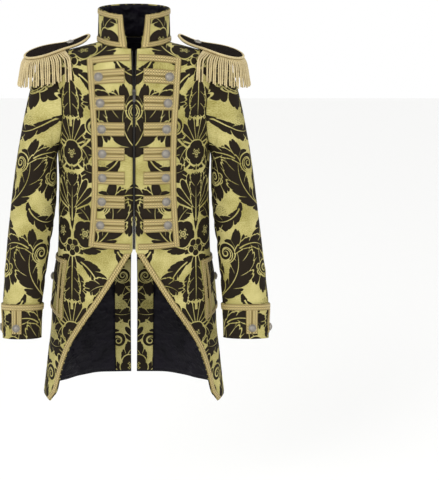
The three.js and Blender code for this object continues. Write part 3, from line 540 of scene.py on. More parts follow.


# %% [markdown]
# ## Materials
# Brocade: the gold ground is a satin weave with a soft shine, and the dark figure is ribbed weft, a
# little rougher. Much of the shine is painted into the colour: a painted sheen mixed with the
# cloth's own uneven tone in soft pale patches on the ground, and a painted highlight on its proud
# threads and on the figure's ribs. Only the colour reads the figure; the bump reads the threads
# alone, which keeps a render quick. The lining is black satin with narrow creases.

# %% Brocade and lining
GROUND_GOLD = (0.44, 0.385, 0.1)
GROUND_PALE_SHEEN = (0.64, 0.57, 0.26)
GROUND_DEEP = (0.25, 0.215, 0.045)
FIGURE_DARK = (0.004, 0.003, 0.0022)
FIGURE_RIB_HIGHLIGHT = (0.026, 0.019, 0.012)


def brocade_material():
    material, shader = plain_material("brocade", GROUND_GOLD, 0.6)
    tree = material.node_tree
    cloth = place_on(tree, "map")
    shade = place_group(tree, UNEVEN, Place=cloth, Slow=14.0, Quick=420.0)
    slow, quick = (Number(tree, shade.outputs[label]) for label in ("Slow", "Quick"))
    threads = Number(tree, place_group(tree, THREADS, Cloth=cloth).outputs["Height"])
    figure = place_group(tree, FIGURE_GROUP, Cloth=cloth)
    dark = Number(tree, figure.outputs["Dark"])
    # Partly painted light: the ground turns paler in soft random patches, partly its own tone and partly
    # a painted satin sheen, and paler on proud threads, a painted highlight.
    lit = ((quick - 0.36) * 1.6 + (slow - 0.5) * 1.4 + threads * 0.25).held()
    ground = mixed(tree, ((slow - 0.4) * 2.2).held(), GROUND_DEEP, GROUND_GOLD)
    ground = mixed(tree, lit, ground, GROUND_PALE_SHEEN)
    # Painted highlight: the figure's raised ribs are made paler, with some random speckle.
    rib = mixed(tree, (threads * 0.7 + quick * 0.3).held(), FIGURE_DARK, FIGURE_RIB_HIGHLIGHT)
    tree.links.new(mixed(tree, dark, ground, rib), shader.inputs["Base Color"])
    tree.links.new((dark * 0.16 + quick * 0.14 + 0.5).socket, shader.inputs["Roughness"])
    shader.inputs["Specular IOR Level"].default_value = 0.06
    bump_from(tree, shader, threads + quick * 0.8, 0.0003)
    return material


def satin_material():
    material, shader = plain_material("satin_lining", (0.012, 0.01, 0.016), 0.32)
    tree = material.node_tree
    cloth = place_on(tree, "map")
    shade = place_group(tree, UNEVEN, Place=cloth, Slow=18.0, Quick=300.0)
    slow, quick = (Number(tree, shade.outputs[label]) for label in ("Slow", "Quick"))
    color = mixed(tree, ((slow - 0.35) * 2).held(), (0.002, 0.0016, 0.0035), (0.009, 0.007, 0.013))
    tree.links.new(color, shader.inputs["Base Color"])
    tree.links.new((slow * 0.16 + quick * 0.08 + 0.26).socket, shader.inputs["Roughness"])
    threads = place_group(tree, THREADS, Cloth=cloth, Pitch=0.0006, Cross=0.0012)
    crease = 1 - ((noise_of(tree, cloth, 16, 3) - 0.5).size() * 7).held()
    height = Number(tree, threads.outputs["Height"]) * 0.04 + slow * 0.8 + crease * 0.8
    bump_from(tree, shader, height, 0.0045)
    shader.inputs["Specular IOR Level"].default_value = 0.1
    return material


# %% [markdown]
# Braid: a flat woven band with a corded edge down each side and a chevron between them. Its colour
# paints the light and shade of the weave: a painted highlight on the raised threads of the chevron
# and the cords, and painted shade on the low threads. A groove sets off each edge and runs up the
# middle, darkened with painted shade. Its map runs from 0 to 1 across and in metres along, so that
# one finish serves a wide band and a narrow.

# %% Braid
BRAID_GOLD = (0.34, 0.245, 0.06)
BRAID_HIGHLIGHT = (0.8, 0.65, 0.31)
BRAID_SHADE = (0.07, 0.042, 0.01)


def chevron_group():
    """Threads of a woven band: their height, a painted highlight on the raised ones, and its grooves."""
    inputs = {"Band": (0.0, 0.0, 0.0), "Pitch": 0.0063}
    outputs = {"Height": "Float", "Light": "Float", "Groove": "Float"}
    tree, given, end = new_group("Chevron braid", inputs, outputs)
    parts = tree.nodes.new("ShaderNodeSeparateXYZ")
    tree.links.new(given["Band"].socket, parts.inputs[0])
    across = (Number(tree, parts.outputs[0]) - 0.5).size() * 2
    along = Number(tree, parts.outputs[1]) / given["Pitch"]
    zigzag = (along + across.math("PINGPONG", across, 0.42) * 2.6).bump_of_parts()
    edge = ((across - 0.8) * 12).held()
    cord = (along * 1.6 + across * 2).bump_of_parts() ** 0.5
    strand = (across * 9).bump_of_parts() * 0.35
    height = (zigzag * 0.75 + strand) * (1 - edge) + (cord * 0.8 + 0.4) * edge
    # The light mask is a painted highlight on the raised threads of the chevron and the cords.
    light = ((zigzag - 0.5) * 3).held() * (1 - edge) + cord * edge * 0.45
    groove = (1 - (across - 0.76).size() * 9).held().most((1 - across * 7).held())
    groove = groove.most(((across - 0.93) * 12).held())
    for label, value in (("Height", height), ("Light", light), ("Groove", groove)):
        tree.links.new(value.socket, end.inputs[label])
    return tree


CHEVRON = chevron_group()


def braid_material():
    material, shader = plain_material("gold_braid", BRAID_GOLD, 0.5)
    tree = material.node_tree
    band = place_on(tree, "map", "Band")
    woven = place_group(tree, CHEVRON, Band=band)
    shade = place_group(tree, UNEVEN, Place=place_on(tree, "space"), Slow=30.0, Quick=900.0)
    slow, quick = (Number(tree, shade.outputs[label]) for label in ("Slow", "Quick"))
    light = Number(tree, woven.outputs["Light"])
    height = Number(tree, woven.outputs["Height"])
    groove = Number(tree, woven.outputs["Groove"])
    # Painted shade: the low threads of the weave are darkened, with a slow random change.
    color = mixed(tree, ((height - 0.3) * 1.8 + slow * 0.2).held(), BRAID_SHADE, BRAID_GOLD)
    # Painted highlight: the raised threads of the chevron and the cords are made pale.
    color = mixed(tree, (light * 1.1 + quick * 0.2 - 0.25).held(), color, BRAID_HIGHLIGHT)
    # Painted shade in the grooves.
    color = mixed(tree, (groove * 0.85).held(), color, BRAID_SHADE)
    tree.links.new(color, shader.inputs["Base Color"])
    tree.links.new((quick * 0.25 + 0.36).socket, shader.inputs["Roughness"])
    tree.links.new((light * 0.3).socket, shader.inputs["Metallic"])
    shader.inputs["Specular IOR Level"].default_value = 0.2
    bump_from(tree, shader, height - groove * 0.6 + quick * 0.4, 0.001)
    return material


# %% [markdown]
# Felt, cord, silver and the zip: felt is a matt nap of fine fibres. Cord is two plies twisted
# together, and the twist is in its mesh, so the material adds the threads and a painted shade in the
# grooves between the plies. The buttons are antique silver: bright on the high places and darkened
# in the hollows.

# %% Felt, cord, silver, zip tape and black metal
def noise_of(tree, place, scale, detail=4):
    noise = tree.nodes.new("ShaderNodeTexNoise")
    noise.inputs["Scale"].default_value = scale
    noise.inputs["Detail"].default_value = detail
    tree.links.new(place.socket, noise.inputs["Vector"])
    return Number(tree, noise.outputs["Fac"])


def felt_material():
    material, shader = plain_material("black_felt", (0.012, 0.008, 0.006), 0.95)
    tree = material.node_tree
    place = place_on(tree, "space")
    nap = noise_of(tree, place, 700)
    shade = place_group(tree, UNEVEN, Place=place, Slow=40.0, Quick=300.0)
    mask = (nap * 0.7 + Number(tree, shade.outputs["Slow"]) * 0.5 - 0.1).held()
    color = mixed(tree, mask, (0.003, 0.002, 0.0015), (0.014, 0.009, 0.0065))
    tree.links.new(color, shader.inputs["Base Color"])
    shader.inputs["Specular IOR Level"].default_value = 0.03
    bump_from(tree, shader, nap, 0.0006)
    return material


def cord_material():
    material, shader = plain_material("pale_cord", (0.66, 0.5, 0.25), 0.5)
    tree = material.node_tree
    place = place_on(tree, "space")
    shade = place_group(tree, UNEVEN, Place=place, Slow=60.0, Quick=1100.0)
    slow, quick = (Number(tree, shade.outputs[label]) for label in ("Slow", "Quick"))
    color = mixed(tree, (slow * 1.8 - 0.4).held(), (0.26, 0.18, 0.065), (0.54, 0.43, 0.2))
    color = mixed(tree, (quick * 2 - 0.7).held(), color, (0.8, 0.68, 0.4))
    geometry_node = tree.nodes.new("ShaderNodeNewGeometry")
    # Painted shade: the cord is darkened in the hollows between its plies, where shade falls.
    hollow = ((0.51 - Number(tree, geometry_node.outputs["Pointiness"])) * 9).held()
    color = mixed(tree, (hollow * 0.8).held(), color, (0.13, 0.085, 0.025))
    tree.links.new(color, shader.inputs["Base Color"])
    tree.links.new((quick * 0.3 + 0.32).socket, shader.inputs["Roughness"])
    bump_from(tree, shader, quick, 0.0005)
    return material


def silver_material():
    material, shader = plain_material("antique_silver", (0.5, 0.47, 0.42), 0.4)
    tree = material.node_tree
    place = place_on(tree, "space")
    grain = noise_of(tree, place, 420)
    cloud = noise_of(tree, place, 120, 2)
    geometry_node = tree.nodes.new("ShaderNodeNewGeometry")
    proud = ((Number(tree, geometry_node.outputs["Pointiness"]) - 0.5) * 9 + 0.5).held()
    bright = (proud * 0.6 + cloud * 0.5 + grain * 0.3 - 0.2).held()
    color = mixed(tree, bright, (0.05, 0.043, 0.034), (0.42, 0.39, 0.34))
    tree.links.new(color, shader.inputs["Base Color"])
    tree.links.new((0.62 - bright * 0.3).socket, shader.inputs["Roughness"])
    tree.links.new((bright * 0.4 + 0.5).socket, shader.inputs["Metallic"])
    bump_from(tree, shader, grain + cloud, 0.0003)
    return material


def tape_material():
    material, shader = plain_material("zip_tape", (0.01, 0.01, 0.01), 0.75)
    tree = material.node_tree
    place = place_on(tree, "space")
    rows = place_group(tree, THREADS, Cloth=place_on(tree, "map"), Pitch=0.0009, Cross=0.0009)
    height = Number(tree, rows.outputs["Height"])
    # Painted highlight: the tape's raised threads are made paler, unevenly by noise.
    mask = (height * noise_of(tree, place, 90)).held()
    color = mixed(tree, mask, (0.003, 0.003, 0.003), (0.014, 0.014, 0.014))
    tree.links.new(color, shader.inputs["Base Color"])
    shader.inputs["Specular IOR Level"].default_value = 0.1
    bump_from(tree, shader, height, 0.0004)
    return material


def enamel_material():
    material, shader = plain_material("zip_metal", (0.012, 0.012, 0.012), 0.35)
    tree = material.node_tree
    place = place_on(tree, "space")
    grain = noise_of(tree, place, 260)
    geometry_node = tree.nodes.new("ShaderNodeNewGeometry")
    # The proud edges of the teeth are made lighter and more metallic, with a fine grain.
    proud = ((Number(tree, geometry_node.outputs["Pointiness"]) - 0.53) * 14 + grain - 0.5).held()
    color = mixed(tree, proud, (0.005, 0.005, 0.005), (0.1, 0.095, 0.09))
    tree.links.new(color, shader.inputs["Base Color"])
    tree.links.new((grain * 0.25 + 0.25).socket, shader.inputs["Roughness"])
    tree.links.new((proud * 0.8).socket, shader.inputs["Metallic"])
    shader.inputs["Specular IOR Level"].default_value = 0.2
    bump_from(tree, shader, grain, 0.0001)
    return material


BROCADE = brocade_material()
SATIN = satin_material()
BRAID = braid_material()
FELT = felt_material()
CORD = cord_material()
SILVER = silver_material()
TAPE = tape_material()
ENAMEL = enamel_material()

# %% [markdown]
# ## Smooth tables
# A tailor works from measures taken at a few heights and draws a fair curve through them. Here a
# short table holds the measures and a smooth curve, which never swings past a row, fills between.
# A plain spline would swing past the rows and put a bulge where nobody measured one.

# %% Curves through tables
def curve(at, value):
    """A smooth function through points, level at every turn of the values."""
    at, value = np.array(at, float), np.array(value, float)
    if at[1] < at[0]:
        at, value = at[::-1], value[::-1]
    slope = np.diff(value) / np.diff(at)
    product = slope[:-1] * slope[1:]
    total = slope[:-1] + slope[1:]
    middle = np.where(product > 0, 2 * product / np.where(total == 0, 1, total), 0)
    tangent = np.concatenate([slope[:1], middle, slope[-1:]])

    def value_at(position):
        position = np.asarray(position, float)
        i = np.clip(np.searchsorted(at, position, side="right") - 1, 0, len(slope) - 1)
        width = at[i + 1] - at[i]
        t = np.clip((position - at[i]) / width, -0.5, 1.5)
        leave = t * (1 - t) ** 2 * width
        arrive = t * t * (t - 1) * width
        rise = (value[i + 1] - value[i]) * t * t * (3 - 2 * t)
        return value[i] + rise + leave * tangent[i] + arrive * tangent[i + 1]

    return value_at


def curves(columns, rows):
    """A curve for each column of a table but its first, by name."""
    table = np.array(rows, float).T
    return {name: curve(table[0], table[i + 1]) for i, name in enumerate(columns[1:])}


# %% The body's rings and folds
# z, half width, depth to the front, depth to the back, how square the ring is
RING_COLUMNS = ("z", "half", "front", "back", "square")
RING_ROWS = [
    (14, 74, 76, 72, 2),
    (0, 87, 85, 75, 2),
    (-8, 115, 91, 82, 1.8),
    (-17, 150, 96, 89, 1.7),
    (-26, 187, 100, 94, 1.7),
    (-34, 213, 103, 98, 1.75),
    (-60, 211, 110, 107, 1.85),
    (-120, 200, 119, 121, 2.05),
    (-200, 190, 126, 122, 2.1),
    (-265, 186, 125, 114, 2.1),
    (-330, 184, 121, 104, 2.1),
    (-397, 186, 117, 97, 2.1),
    (-474, 188, 115, 96, 2.1),
    (-520, 191, 114, 102, 2.1),
    (-577, 200, 113, 113, 2.1),
    (-642, 206, 112, 124, 2.1),
    (-722, 210, 110, 134, 2.1),
    (-775, 216, 109, 140, 2.1),
    (-829, 222, 108, 146, 2.1),
    (-910, 234, 107, 153, 2.1),
]
# angle round the body, spread in degrees, depth, where it starts, where it is full
FOLD_ROWS = [
    (106, 13, 7, -560, -860),
    (133, 8, -6, -540, -850),
    (160, 9, 7, -500, -860),
    (-103, 12, 6, -580, -850),
    (-128, 9, -7, -550, -870),
    (-157, 8, 6, -500, -840),
    (72, 9, -3, -650, -850),
    (-74, 9, -3, -630, -850),
]
ring = curves(RING_COLUMNS, RING_ROWS)
WAIST = -484
VENT_TOP = -430
ARMHOLE_TOP, ARMHOLE_BOTTOM, ARMHOLE_DEPTH = -34, -265, 63
ARMHOLE_MIDDLE = (ARMHOLE_TOP + ARMHOLE_BOTTOM) / 2
ARMHOLE_HALF = (ARMHOLE_TOP - ARMHOLE_BOTTOM) / 2

# %% [markdown]
# ## Creases
# Cloth that has been worn and hung keeps soft creases where the body bends: fans of short ones
# inside the elbow and under the arm, drags across the waist and long flutes in the skirts. No cloth
# simulation is run. Each crease is given as a soft trough or ridge from one place to another,
# all of unlike length and depth.

# %% Soft troughs and ridges
def crease_sum(creases, across, along, whole_turn):
    """Adds up creases (from across, along, to across, along, width, depth) at each point."""
    total = np.zeros(np.broadcast(across, along).shape)
    for x0, y0, x1, y1, width, depth in creases:
        from_x = (across - x0 + whole_turn / 2) % whole_turn - whole_turn / 2
        from_y = along - y0
        dx, dy = x1 - x0, y1 - y0
        share = np.clip((from_x * dx + from_y * dy) / (dx * dx + dy * dy), 0, 1)
        away = (from_x - share * dx) ** 2 + (from_y - share * dy) ** 2
        total += depth * (0.3 + 0.7 * np.sin(np.pi * share)) * np.exp(-away / width**2)
    return total


GIRTH_STEP = 3.2  # millimetres of cloth to a degree round the body
# across is degrees round the body times GIRTH_STEP, along is height
BODY_CREASES = [
    (205, -238, 150, -196, 8, -1.6),
    (214, -262, 168, -236, 7, -1.3),
    (-208, -232, -160, -206, 8, -1.5),
    (-216, -268, -178, -232, 7, -1.4),
    (190, -330, 250, -352, 9, -1.5),
    (-196, -352, -244, -330, 9, -1.6),
    (160, -436, 262, -462, 9, -2.2),
    (200, -474, 268, -498, 8, -1.6),
    (178, -404, 240, -420, 8, -1.2),
    (-166, -448, -270, -430, 10, -2.1),
    (-206, -490, -262, -470, 8, -1.5),
    (-184, -396, -236, -412, 8, -1.3),
    (330, -392, 440, -418, 11, -2.0),
    (352, -352, 470, -372, 10, -1.4),
    (322, -446, 420, -470, 9, -1.8),
    (-326, -402, -446, -426, 11, -2.1),
    (-350, -356, -462, -362, 10, -1.3),
    (-318, -440, -408, -476, 9, -1.7),
    (430, -60, 486, -150, 12, 1.6),
    (-436, -64, -480, -142, 12, 1.5),
    (350, -130, 388, -196, 9, -1.8),
    (-346, -124, -392, -202, 9, -1.7),
    (374, -170, 410, -238, 8, -1.3),
    (-380, -176, -404, -232, 8, -1.3),
    (500, -450, 540, -640, 12, -1.5),
    (-498, -460, -532, -620, 12, -1.6),
    (232, -540, 252, -690, 10, -1.6),
    (-230, -552, -256, -700, 10, -1.7),
    (300, -700, 306, -880, 9, 1.4),
    (-292, -690, -300, -880, 9, 1.5),
    (366, -660, 372, -885, 8, -1.4),
    (-372, -680, -380, -885, 8, -1.5),
    (470, -620, 488, -885, 10, 1.6),
    (-474, -640, -486, -885, 10, 1.5),
    (262, -740, 266, -880, 8, -1.3),
    (-258, -760, -262, -880, 8, -1.2),
]


def signed(angle):
    return (np.asarray(angle, float) + 180) % 360 - 180


def fold_out(angle, z):
    """How far the skirts' folds and the creases stand out from the rings."""
    total = 0
    for place, spread, depth, top, full in FOLD_ROWS:
        share = np.clip((z - full) / (top - full), 0, 1)
        grown = 1 - share * share * (3 - 2 * share)
        total = total + depth * grown * np.exp(-(((signed(angle) - place) / spread) ** 2))
    across = signed(angle) * GIRTH_STEP
    return total + crease_sum(BODY_CREASES, across, z, 360 * GIRTH_STEP)


# %% The body's surface
def body_point(z, angle):
    """A point of the body: angle in degrees from the front centre towards the wearer's left."""
    z, angle = np.broadcast_arrays(np.asarray(z, float), np.asarray(angle, float))
    sin, cos = np.sin(np.radians(angle)), np.cos(np.radians(angle))
    power = 2 / ring["square"](z)
    depth = np.where(cos > 0, ring["front"](z), ring["back"](z))
    x = ring["half"](z) * np.sign(sin) * np.abs(sin) ** power
    y = -depth * np.sign(cos) * np.abs(cos) ** power
    grown = 1 + fold_out(angle, z) / np.hypot(x, y)
    return np.stack([x * grown, y * grown, z], -1)


def moved_out(surface, row, column, out, row_step=0.5, column_step=0.5):
    """Points of a surface moved out along its normal."""
    along_row = surface(row, column + column_step) - surface(row, column - column_step)
    along_column = surface(row + row_step, column) - surface(row - row_step, column)
    normal = np.cross(along_row, along_column)
    normal /= np.linalg.norm(normal, axis=-1, keepdims=True)
    return surface(row, column) + normal * np.asarray(out, float)[..., None]


def on_body(z, angle, out):
    return moved_out(body_point, z, angle, out)


def angle_at_x(x, z):
    """The angle where the front reaches x."""
    share = np.clip(np.abs(x) / ring["half"](z), 0, 1) ** (ring["square"](z) / 2)
    return np.degrees(np.arcsin(share))


def angle_at_depth(y, z, front):
    depth = ring["front"](z) if front else ring["back"](z)
    angle = np.degrees(np.arccos(np.clip((y / depth) ** (ring["square"](z) / 2), 0, 1)))
    return angle if front else 180 - angle


def on_front(x, z, out):
    return on_body(z, np.sign(x) * angle_at_x(x, z), out)


# %% [markdown]
# ## A flat map of the cloth
# The figure must lie on each panel as it did on the bolt: upright, at its true size, running over
# the shoulder without a stretch. Round the body the map measures along the cloth, and above the
# chest it measures up each upright line of cloth, over the slope of the shoulder.

# %% Lengths measured on the cloth
GIRTH_Z = np.arange(-930, 20, 5.0)
GIRTH_ANGLES = np.arange(0, 181, 1.0)
CHEST = -120.0


def girth_table():
    """Cloth length from the front centre to each angle, at each height."""
    z, angle = np.meshgrid(GIRTH_Z, GIRTH_ANGLES, indexing="ij")
    points = body_point(z, angle)
    steps = np.linalg.norm(np.diff(points, axis=1), axis=-1)
    return np.concatenate([np.zeros((len(GIRTH_Z), 1)), np.cumsum(steps, axis=1)], axis=1)


GIRTHS = girth_table()


def from_table(table, row, column):
    """Reads a table between its rows and columns."""
    row = np.clip(row, 0, table.shape[0] - 1.001)
    column = np.clip(column, 0, table.shape[1] - 1.001)
    i, j = row.astype(int), column.astype(int)
    a, b = row - i, column - j
    upper = table[i, j] * (1 - b) + table[i, j + 1] * b
    lower = table[i + 1, j] * (1 - b) + table[i + 1, j + 1] * b
    return upper * (1 - a) + lower * a


def girth_to(z, angle):
    return from_table(GIRTHS, (z - GIRTH_Z[0]) / 5, np.abs(signed(angle)))


CLIMB_X = np.arange(0, 226, 3.0)
CLIMB_Z = np.arange(CHEST, 15, 1.0)


def climb_table(front):
    """Cloth length up from the chest along each upright line, over the shoulder."""
    x, z = np.meshgrid(CLIMB_X, CLIMB_Z, indexing="ij")
    depth = ring["front" if front else "back"](z)
    share = np.clip(1 - (x / ring["half"](z)) ** ring["square"](z), 0, 1)
    y = depth * share ** (1 / ring["square"](z))
    steps = np.hypot(np.diff(y, axis=1), np.diff(z, axis=1))
    return np.concatenate([np.zeros((len(CLIMB_X), 1)), np.cumsum(steps, axis=1)], axis=1)


CLIMBS = {True: climb_table(True), False: climb_table(False)}


def cloth_map(z, angle, front, shift=(0, 0)):
    """Where points of a front or of the back lie on the flat cloth, in millimetres."""
    angle = signed(angle)
    low = np.minimum(z, CHEST)
    x = np.abs(body_point(z, angle)[..., 0])
    straight = np.degrees(np.arcsin(np.clip(x / 200.0, 0, 1) ** (ring["square"](CHEST) / 2)))
    straight = straight if front else 180 - straight
    is_low = z <= CHEST
    across = girth_to(low, np.where(is_low, np.abs(angle), straight))
    whole = girth_to(low, np.full(np.shape(z), 180.0))
    across = across if front else whole - across
    across = across + np.where(is_low, 0, np.maximum(x - 200.0, 0))
    climbed = from_table(CLIMBS[front], x / 3, np.maximum(z - CHEST, 0))
    up = np.where(is_low, z, CHEST + climbed)
    return np.stack([np.sign(angle) * across + shift[0], up + shift[1]], -1)


# %% [markdown]
# ## Building thin walls
# Every piece of cloth is a wall: an outer face, an inner face and a narrow rim between them. A
# Solidify modifier would do it, but its inner face can't have its own finish and place, so
# both faces are made here from the same grid, and the rim is found from the edges with one face.

# %% From grids to meshes
def make_object(name, points, faces, materials, uv=None, map_name="Cloth", slots=None):
    """A smooth-shaded mesh object from points in millimetres."""
    mesh = bpy.data.meshes.new(name)
    mesh.from_pydata((np.asarray(points) * MM).tolist(), [], [list(face) for face in faces])
    for material in materials:
        mesh.materials.append(material)
    if uv is not None:
        layer = mesh.uv_layers.new(name=map_name)
        layer.data.foreach_set("uv", np.asarray(uv, np.float32).ravel())
    if slots is not None:
        mesh.polygons.foreach_set("material_index", np.asarray(slots, np.int32))
    mesh.polygons.foreach_set("use_smooth", np.ones(len(mesh.polygons), bool))
    mesh.update()
    piece = bpy.data.objects.new(name, mesh)
    bpy.context.collection.objects.link(piece)
    return piece


def wall_data(outer, inner, uv, keep=None, closed=False):
    """Points, faces, corner map and part (0 outer, 1 inner, 2 rim) of a thin wall."""
    rows, columns = outer.shape[:2]
    last = columns if closed else columns - 1
    i, j = np.meshgrid(np.arange(rows - 1), np.arange(last), indexing="ij")
    cells = np.stack([i.ravel(), j.ravel()], 1)
    if keep is not None:
        cells = cells[keep(cells[:, 0], cells[:, 1])]
    corners = np.stack([cells + np.array(c) for c in ((0, 0), (0, 1), (1, 1), (1, 0))], 1)
    faces = corners[..., 0] * columns + corners[..., 1] % columns
    flat = uv[corners[..., 0], corners[..., 1]]
    count = rows * columns
    points = np.concatenate([outer.reshape(-1, 3), inner.reshape(-1, 3)])
    a, b, c = points[faces[:, 0]], points[faces[:, 1]], points[faces[:, 2]]
    normal = np.cross(b - a, c - a)
    if (normal * (a - points[faces[:, 0] + count])).sum() < 0:
        faces, flat = faces[:, ::-1], flat[:, ::-1]
    starts, ends = faces.ravel(), np.roll(faces, -1, axis=1).ravel()
    flat_start, flat_end = flat.reshape(-1, 2), np.roll(flat, -1, axis=1).reshape(-1, 2)
    open_edge = ~np.isin(starts * 10**7 + ends, ends * 10**7 + starts)
    starts, ends = starts[open_edge], ends[open_edge]
    flat_start, flat_end = flat_start[open_edge], flat_end[open_edge]
    rim = np.stack([ends, starts, starts + count, ends + count], 1)
    rim_flat = np.stack([flat_end, flat_start, flat_start, flat_end], 1)
    all_faces = np.concatenate([faces, faces[:, ::-1] + count, rim])
    all_flat = np.concatenate([flat, flat[:, ::-1], rim_flat])
    part = np.repeat([0, 1, 2], [len(faces), len(faces), len(rim)])
    return points, all_faces, all_flat, part


def joined_walls(walls):
    """Several walls as one, with each wall's points counted on from the last."""
    count, parts = 0, []
    for points, faces, flat, part in walls:
        parts.append((points, faces + count, flat, part))
        count += len(points)
    return [np.concatenate(group) for group in zip(*parts)]


def drop_unused(points, faces):
    used, faces_again = np.unique(faces, return_inverse=True)
    return points[used], faces_again.reshape(faces.shape)


def cloth_piece(name, walls, materials, slot_of_part=(0, 0, 0), map_name="Cloth", scale=MM):
    """A cloth object from one wall or several; the map is scaled to metres."""
    points, faces, flat, part = joined_walls(walls)
    points, faces = drop_unused(points, faces)
    slots = np.array(slot_of_part)[part]
    uv = flat * np.array(scale)
    return make_object(name, points, faces, materials, uv, map_name, slots)


def settle(piece, nodes, body="coat"):
    """A piece rides on a body and stands for its nodes."""
    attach(piece, body)
    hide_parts(*nodes)
    print(piece.name, "faces:", len(piece.data.polygons))
    return piece


def face_area(walls):
    """Area of the outer faces of walls, in square metres."""
    total = 0.0
    for points, faces, _, part in walls:
        a, b, c, d = (points[faces[part == 0][:, k]] for k in range(4))
        total += np.linalg.norm(np.cross(c - a, d - b), axis=1).sum() / 2
    return total * MM * MM


def spaced(first, last, count):
    return np.linspace(first, last, count + 1)

# %% [markdown]
# ## Fronts and back
# Two fronts, cut away below the waist, and a back in one piece that is slit from the waist down.
# They could be drawn as one tube and cut, but a tailor cuts each from the cloth, and so each has
# its own edges here: the neckline, the shoulder seam, the armhole, the side seam and the hem.
# Near a seam the cloth dips a little and puckers between stitches.

# %% Edges of the panels
# height, distance of the front edge from the centre
FRONT_EDGE = np.array([
    (-13, 7), (-60, 5.2), (-115, 3.4), (WAIST, 3.4), (-500, 11), (-545, 38),
    (-610, 78), (-690, 130), (-747, 161), (-807, 181), (-865, 196), (-898, 217),
], float)
# height, width of the gap between the halves of the vent
VENT_GAP = np.array([(-426, 2.4), (-442, 4), (-490, 12), (-680, 17), (-888, 15)], float)
front_edge_x = curve(FRONT_EDGE[:, 0], FRONT_EDGE[:, 1])
vent_gap = curve(VENT_GAP[:, 0], VENT_GAP[:, 1])
SEAM = 0.3
WALL = 2.0


def neckline_z(angle):
    cos = np.cos(np.radians(angle))
    return np.where(cos > 0, -13 * cos**3, 8 * cos * cos)


def hem_z(angle):
    return -888 - 22 * np.maximum(0, np.cos(np.radians(angle)))


def panel_rows(step):
    """Rows down a panel as (kind, value): shoulder, armhole turn, trunk height, hem."""
    rows = [("shoulder", share) for share in spaced(0, 1, 16)[:-1]]
    rows += [("armhole", turn) for turn in spaced(0, 180, 60)]
    rows += [("trunk", z) for z in np.arange(-265 - step, -884, -step)]
    return rows + [("hem", 0.0)]


def row_heights(kinds, values, angle):
    """Height of each row at an angle; kinds and values are columns."""
    shoulder = neckline_z(angle) * (1 - values) + ARMHOLE_TOP * values
    armhole = ARMHOLE_MIDDLE + ARMHOLE_HALF * np.cos(np.radians(values)) + 0 * angle
    trunk = values + 0 * angle
    return np.select([kinds == "shoulder", kinds == "armhole", kinds == "trunk"],
                     [shoulder, armhole, trunk], hem_z(angle))


def seam_angle(kinds, values, z, front):
    cut = np.where(kinds == "armhole", ARMHOLE_DEPTH * np.sin(np.radians(values)), 0)
    return angle_at_depth(np.maximum(cut, SEAM / 2), z, front)


def front_start(kinds, values, z):
    return angle_at_x(front_edge_x(z), z)


def front_end(kinds, values, z):
    return seam_angle(kinds, values, z, True)


def back_start(kinds, values, z):
    return seam_angle(kinds, values, z, False)


def back_end(kinds, values, z):
    return 180 - angle_at_x(vent_gap(z) / 2, z)


def panel_places(rows, shares, start, end):
    """Height and angle of each grid point of a panel."""
    kinds = np.array([kind for kind, _ in rows])[:, None]
    values = np.array([value for _, value in rows], float)[:, None]
    angle = np.full((len(rows), len(shares)), 90.0)
    z = row_heights(kinds, values, angle)
    for _ in range(6):
        first, last = start(kinds, values, z), end(kinds, values, z)
        angle = first + (last - first) * shares
        z = row_heights(kinds, values, angle)
    return z, angle


# %% Fronts
PUCKER_STEP = 7.3


def seam_dip(distance, along):
    """Cloth dips beside a seam, and puckers unevenly along it."""
    uneven = np.sin(along / PUCKER_STEP * 2) + 0.6 * np.sin(along / 4.1 + 1.3)
    near = np.exp(-((distance / 3.2) ** 2))
    return -0.55 * near + 0.16 * uneven * np.exp(-((distance / 9.0) ** 2))


def front_walls(side):
    rows = panel_rows(4.4)
    shares = spaced(0, 1, 54)
    z, angle = panel_places(rows, shares, front_start, front_end)
    angle = side * angle
    flat = cloth_map(z, angle, True, (0, 0))
    to_seam = np.abs(flat[:, -1:, 0] - flat[..., 0]) + 0.5
    out = seam_dip(to_seam, z)
    outer = on_body(z, angle, out)
    inner = on_body(z, angle, np.full(z.shape, -WALL))
    return wall_data(outer, inner, flat - np.array([side * 158, -30]))


for worn, side in SIDES.items():
    walls = [front_walls(side)]
    piece = cloth_piece(worn + "_front", walls, [BROCADE, SATIN], (0, 1, 0))
    settle(piece, ["front_" + worn])
    print("front area:", round(face_area(walls), 4))

# %% Back
def back_walls():
    rows = panel_rows(4.4)
    half = spaced(0, 1, 50)
    z, angle = panel_places(rows, half, back_start, back_end)
    flat = cloth_map(z, angle, False)
    to_seam = np.abs(flat[:, :1, 0] - flat[..., 0]) + 0.5
    out = seam_dip(to_seam, z + 40)
    z = np.concatenate([z, z[:, ::-1]], 1)
    angle = np.concatenate([angle, -angle[:, ::-1]], 1)
    out = np.concatenate([out, out[:, ::-1]], 1)
    flat = cloth_map(z, angle, False)
    outer = on_body(z, angle, out)
    inner = on_body(z, angle, np.full(z.shape, -WALL))
    middle = len(half) - 1
    closed_above = VENT_TOP + 1
    heights = z[:, middle]

    def keep(i, j):
        return (j != middle) | (heights[np.minimum(i, len(heights) - 1)] > closed_above)

    return wall_data(outer, inner, flat - np.array([-97.0, 60.0]), keep)


walls = [back_walls()]
piece = cloth_piece("whole_back", walls, [BROCADE, SATIN], (0, 1, 0))
settle(piece, ["back"])
print("back area:", round(face_area(walls), 4))

# %% [markdown]
# ## Sleeves
# A sleeve is cut with a bent elbow and set into the armhole with its fullness eased, so the seam
# puckers all round the cap. It could be one bent tube, but the armhole is an oval that the body
# gives, so the first section runs from that oval to the first ring of the arm.

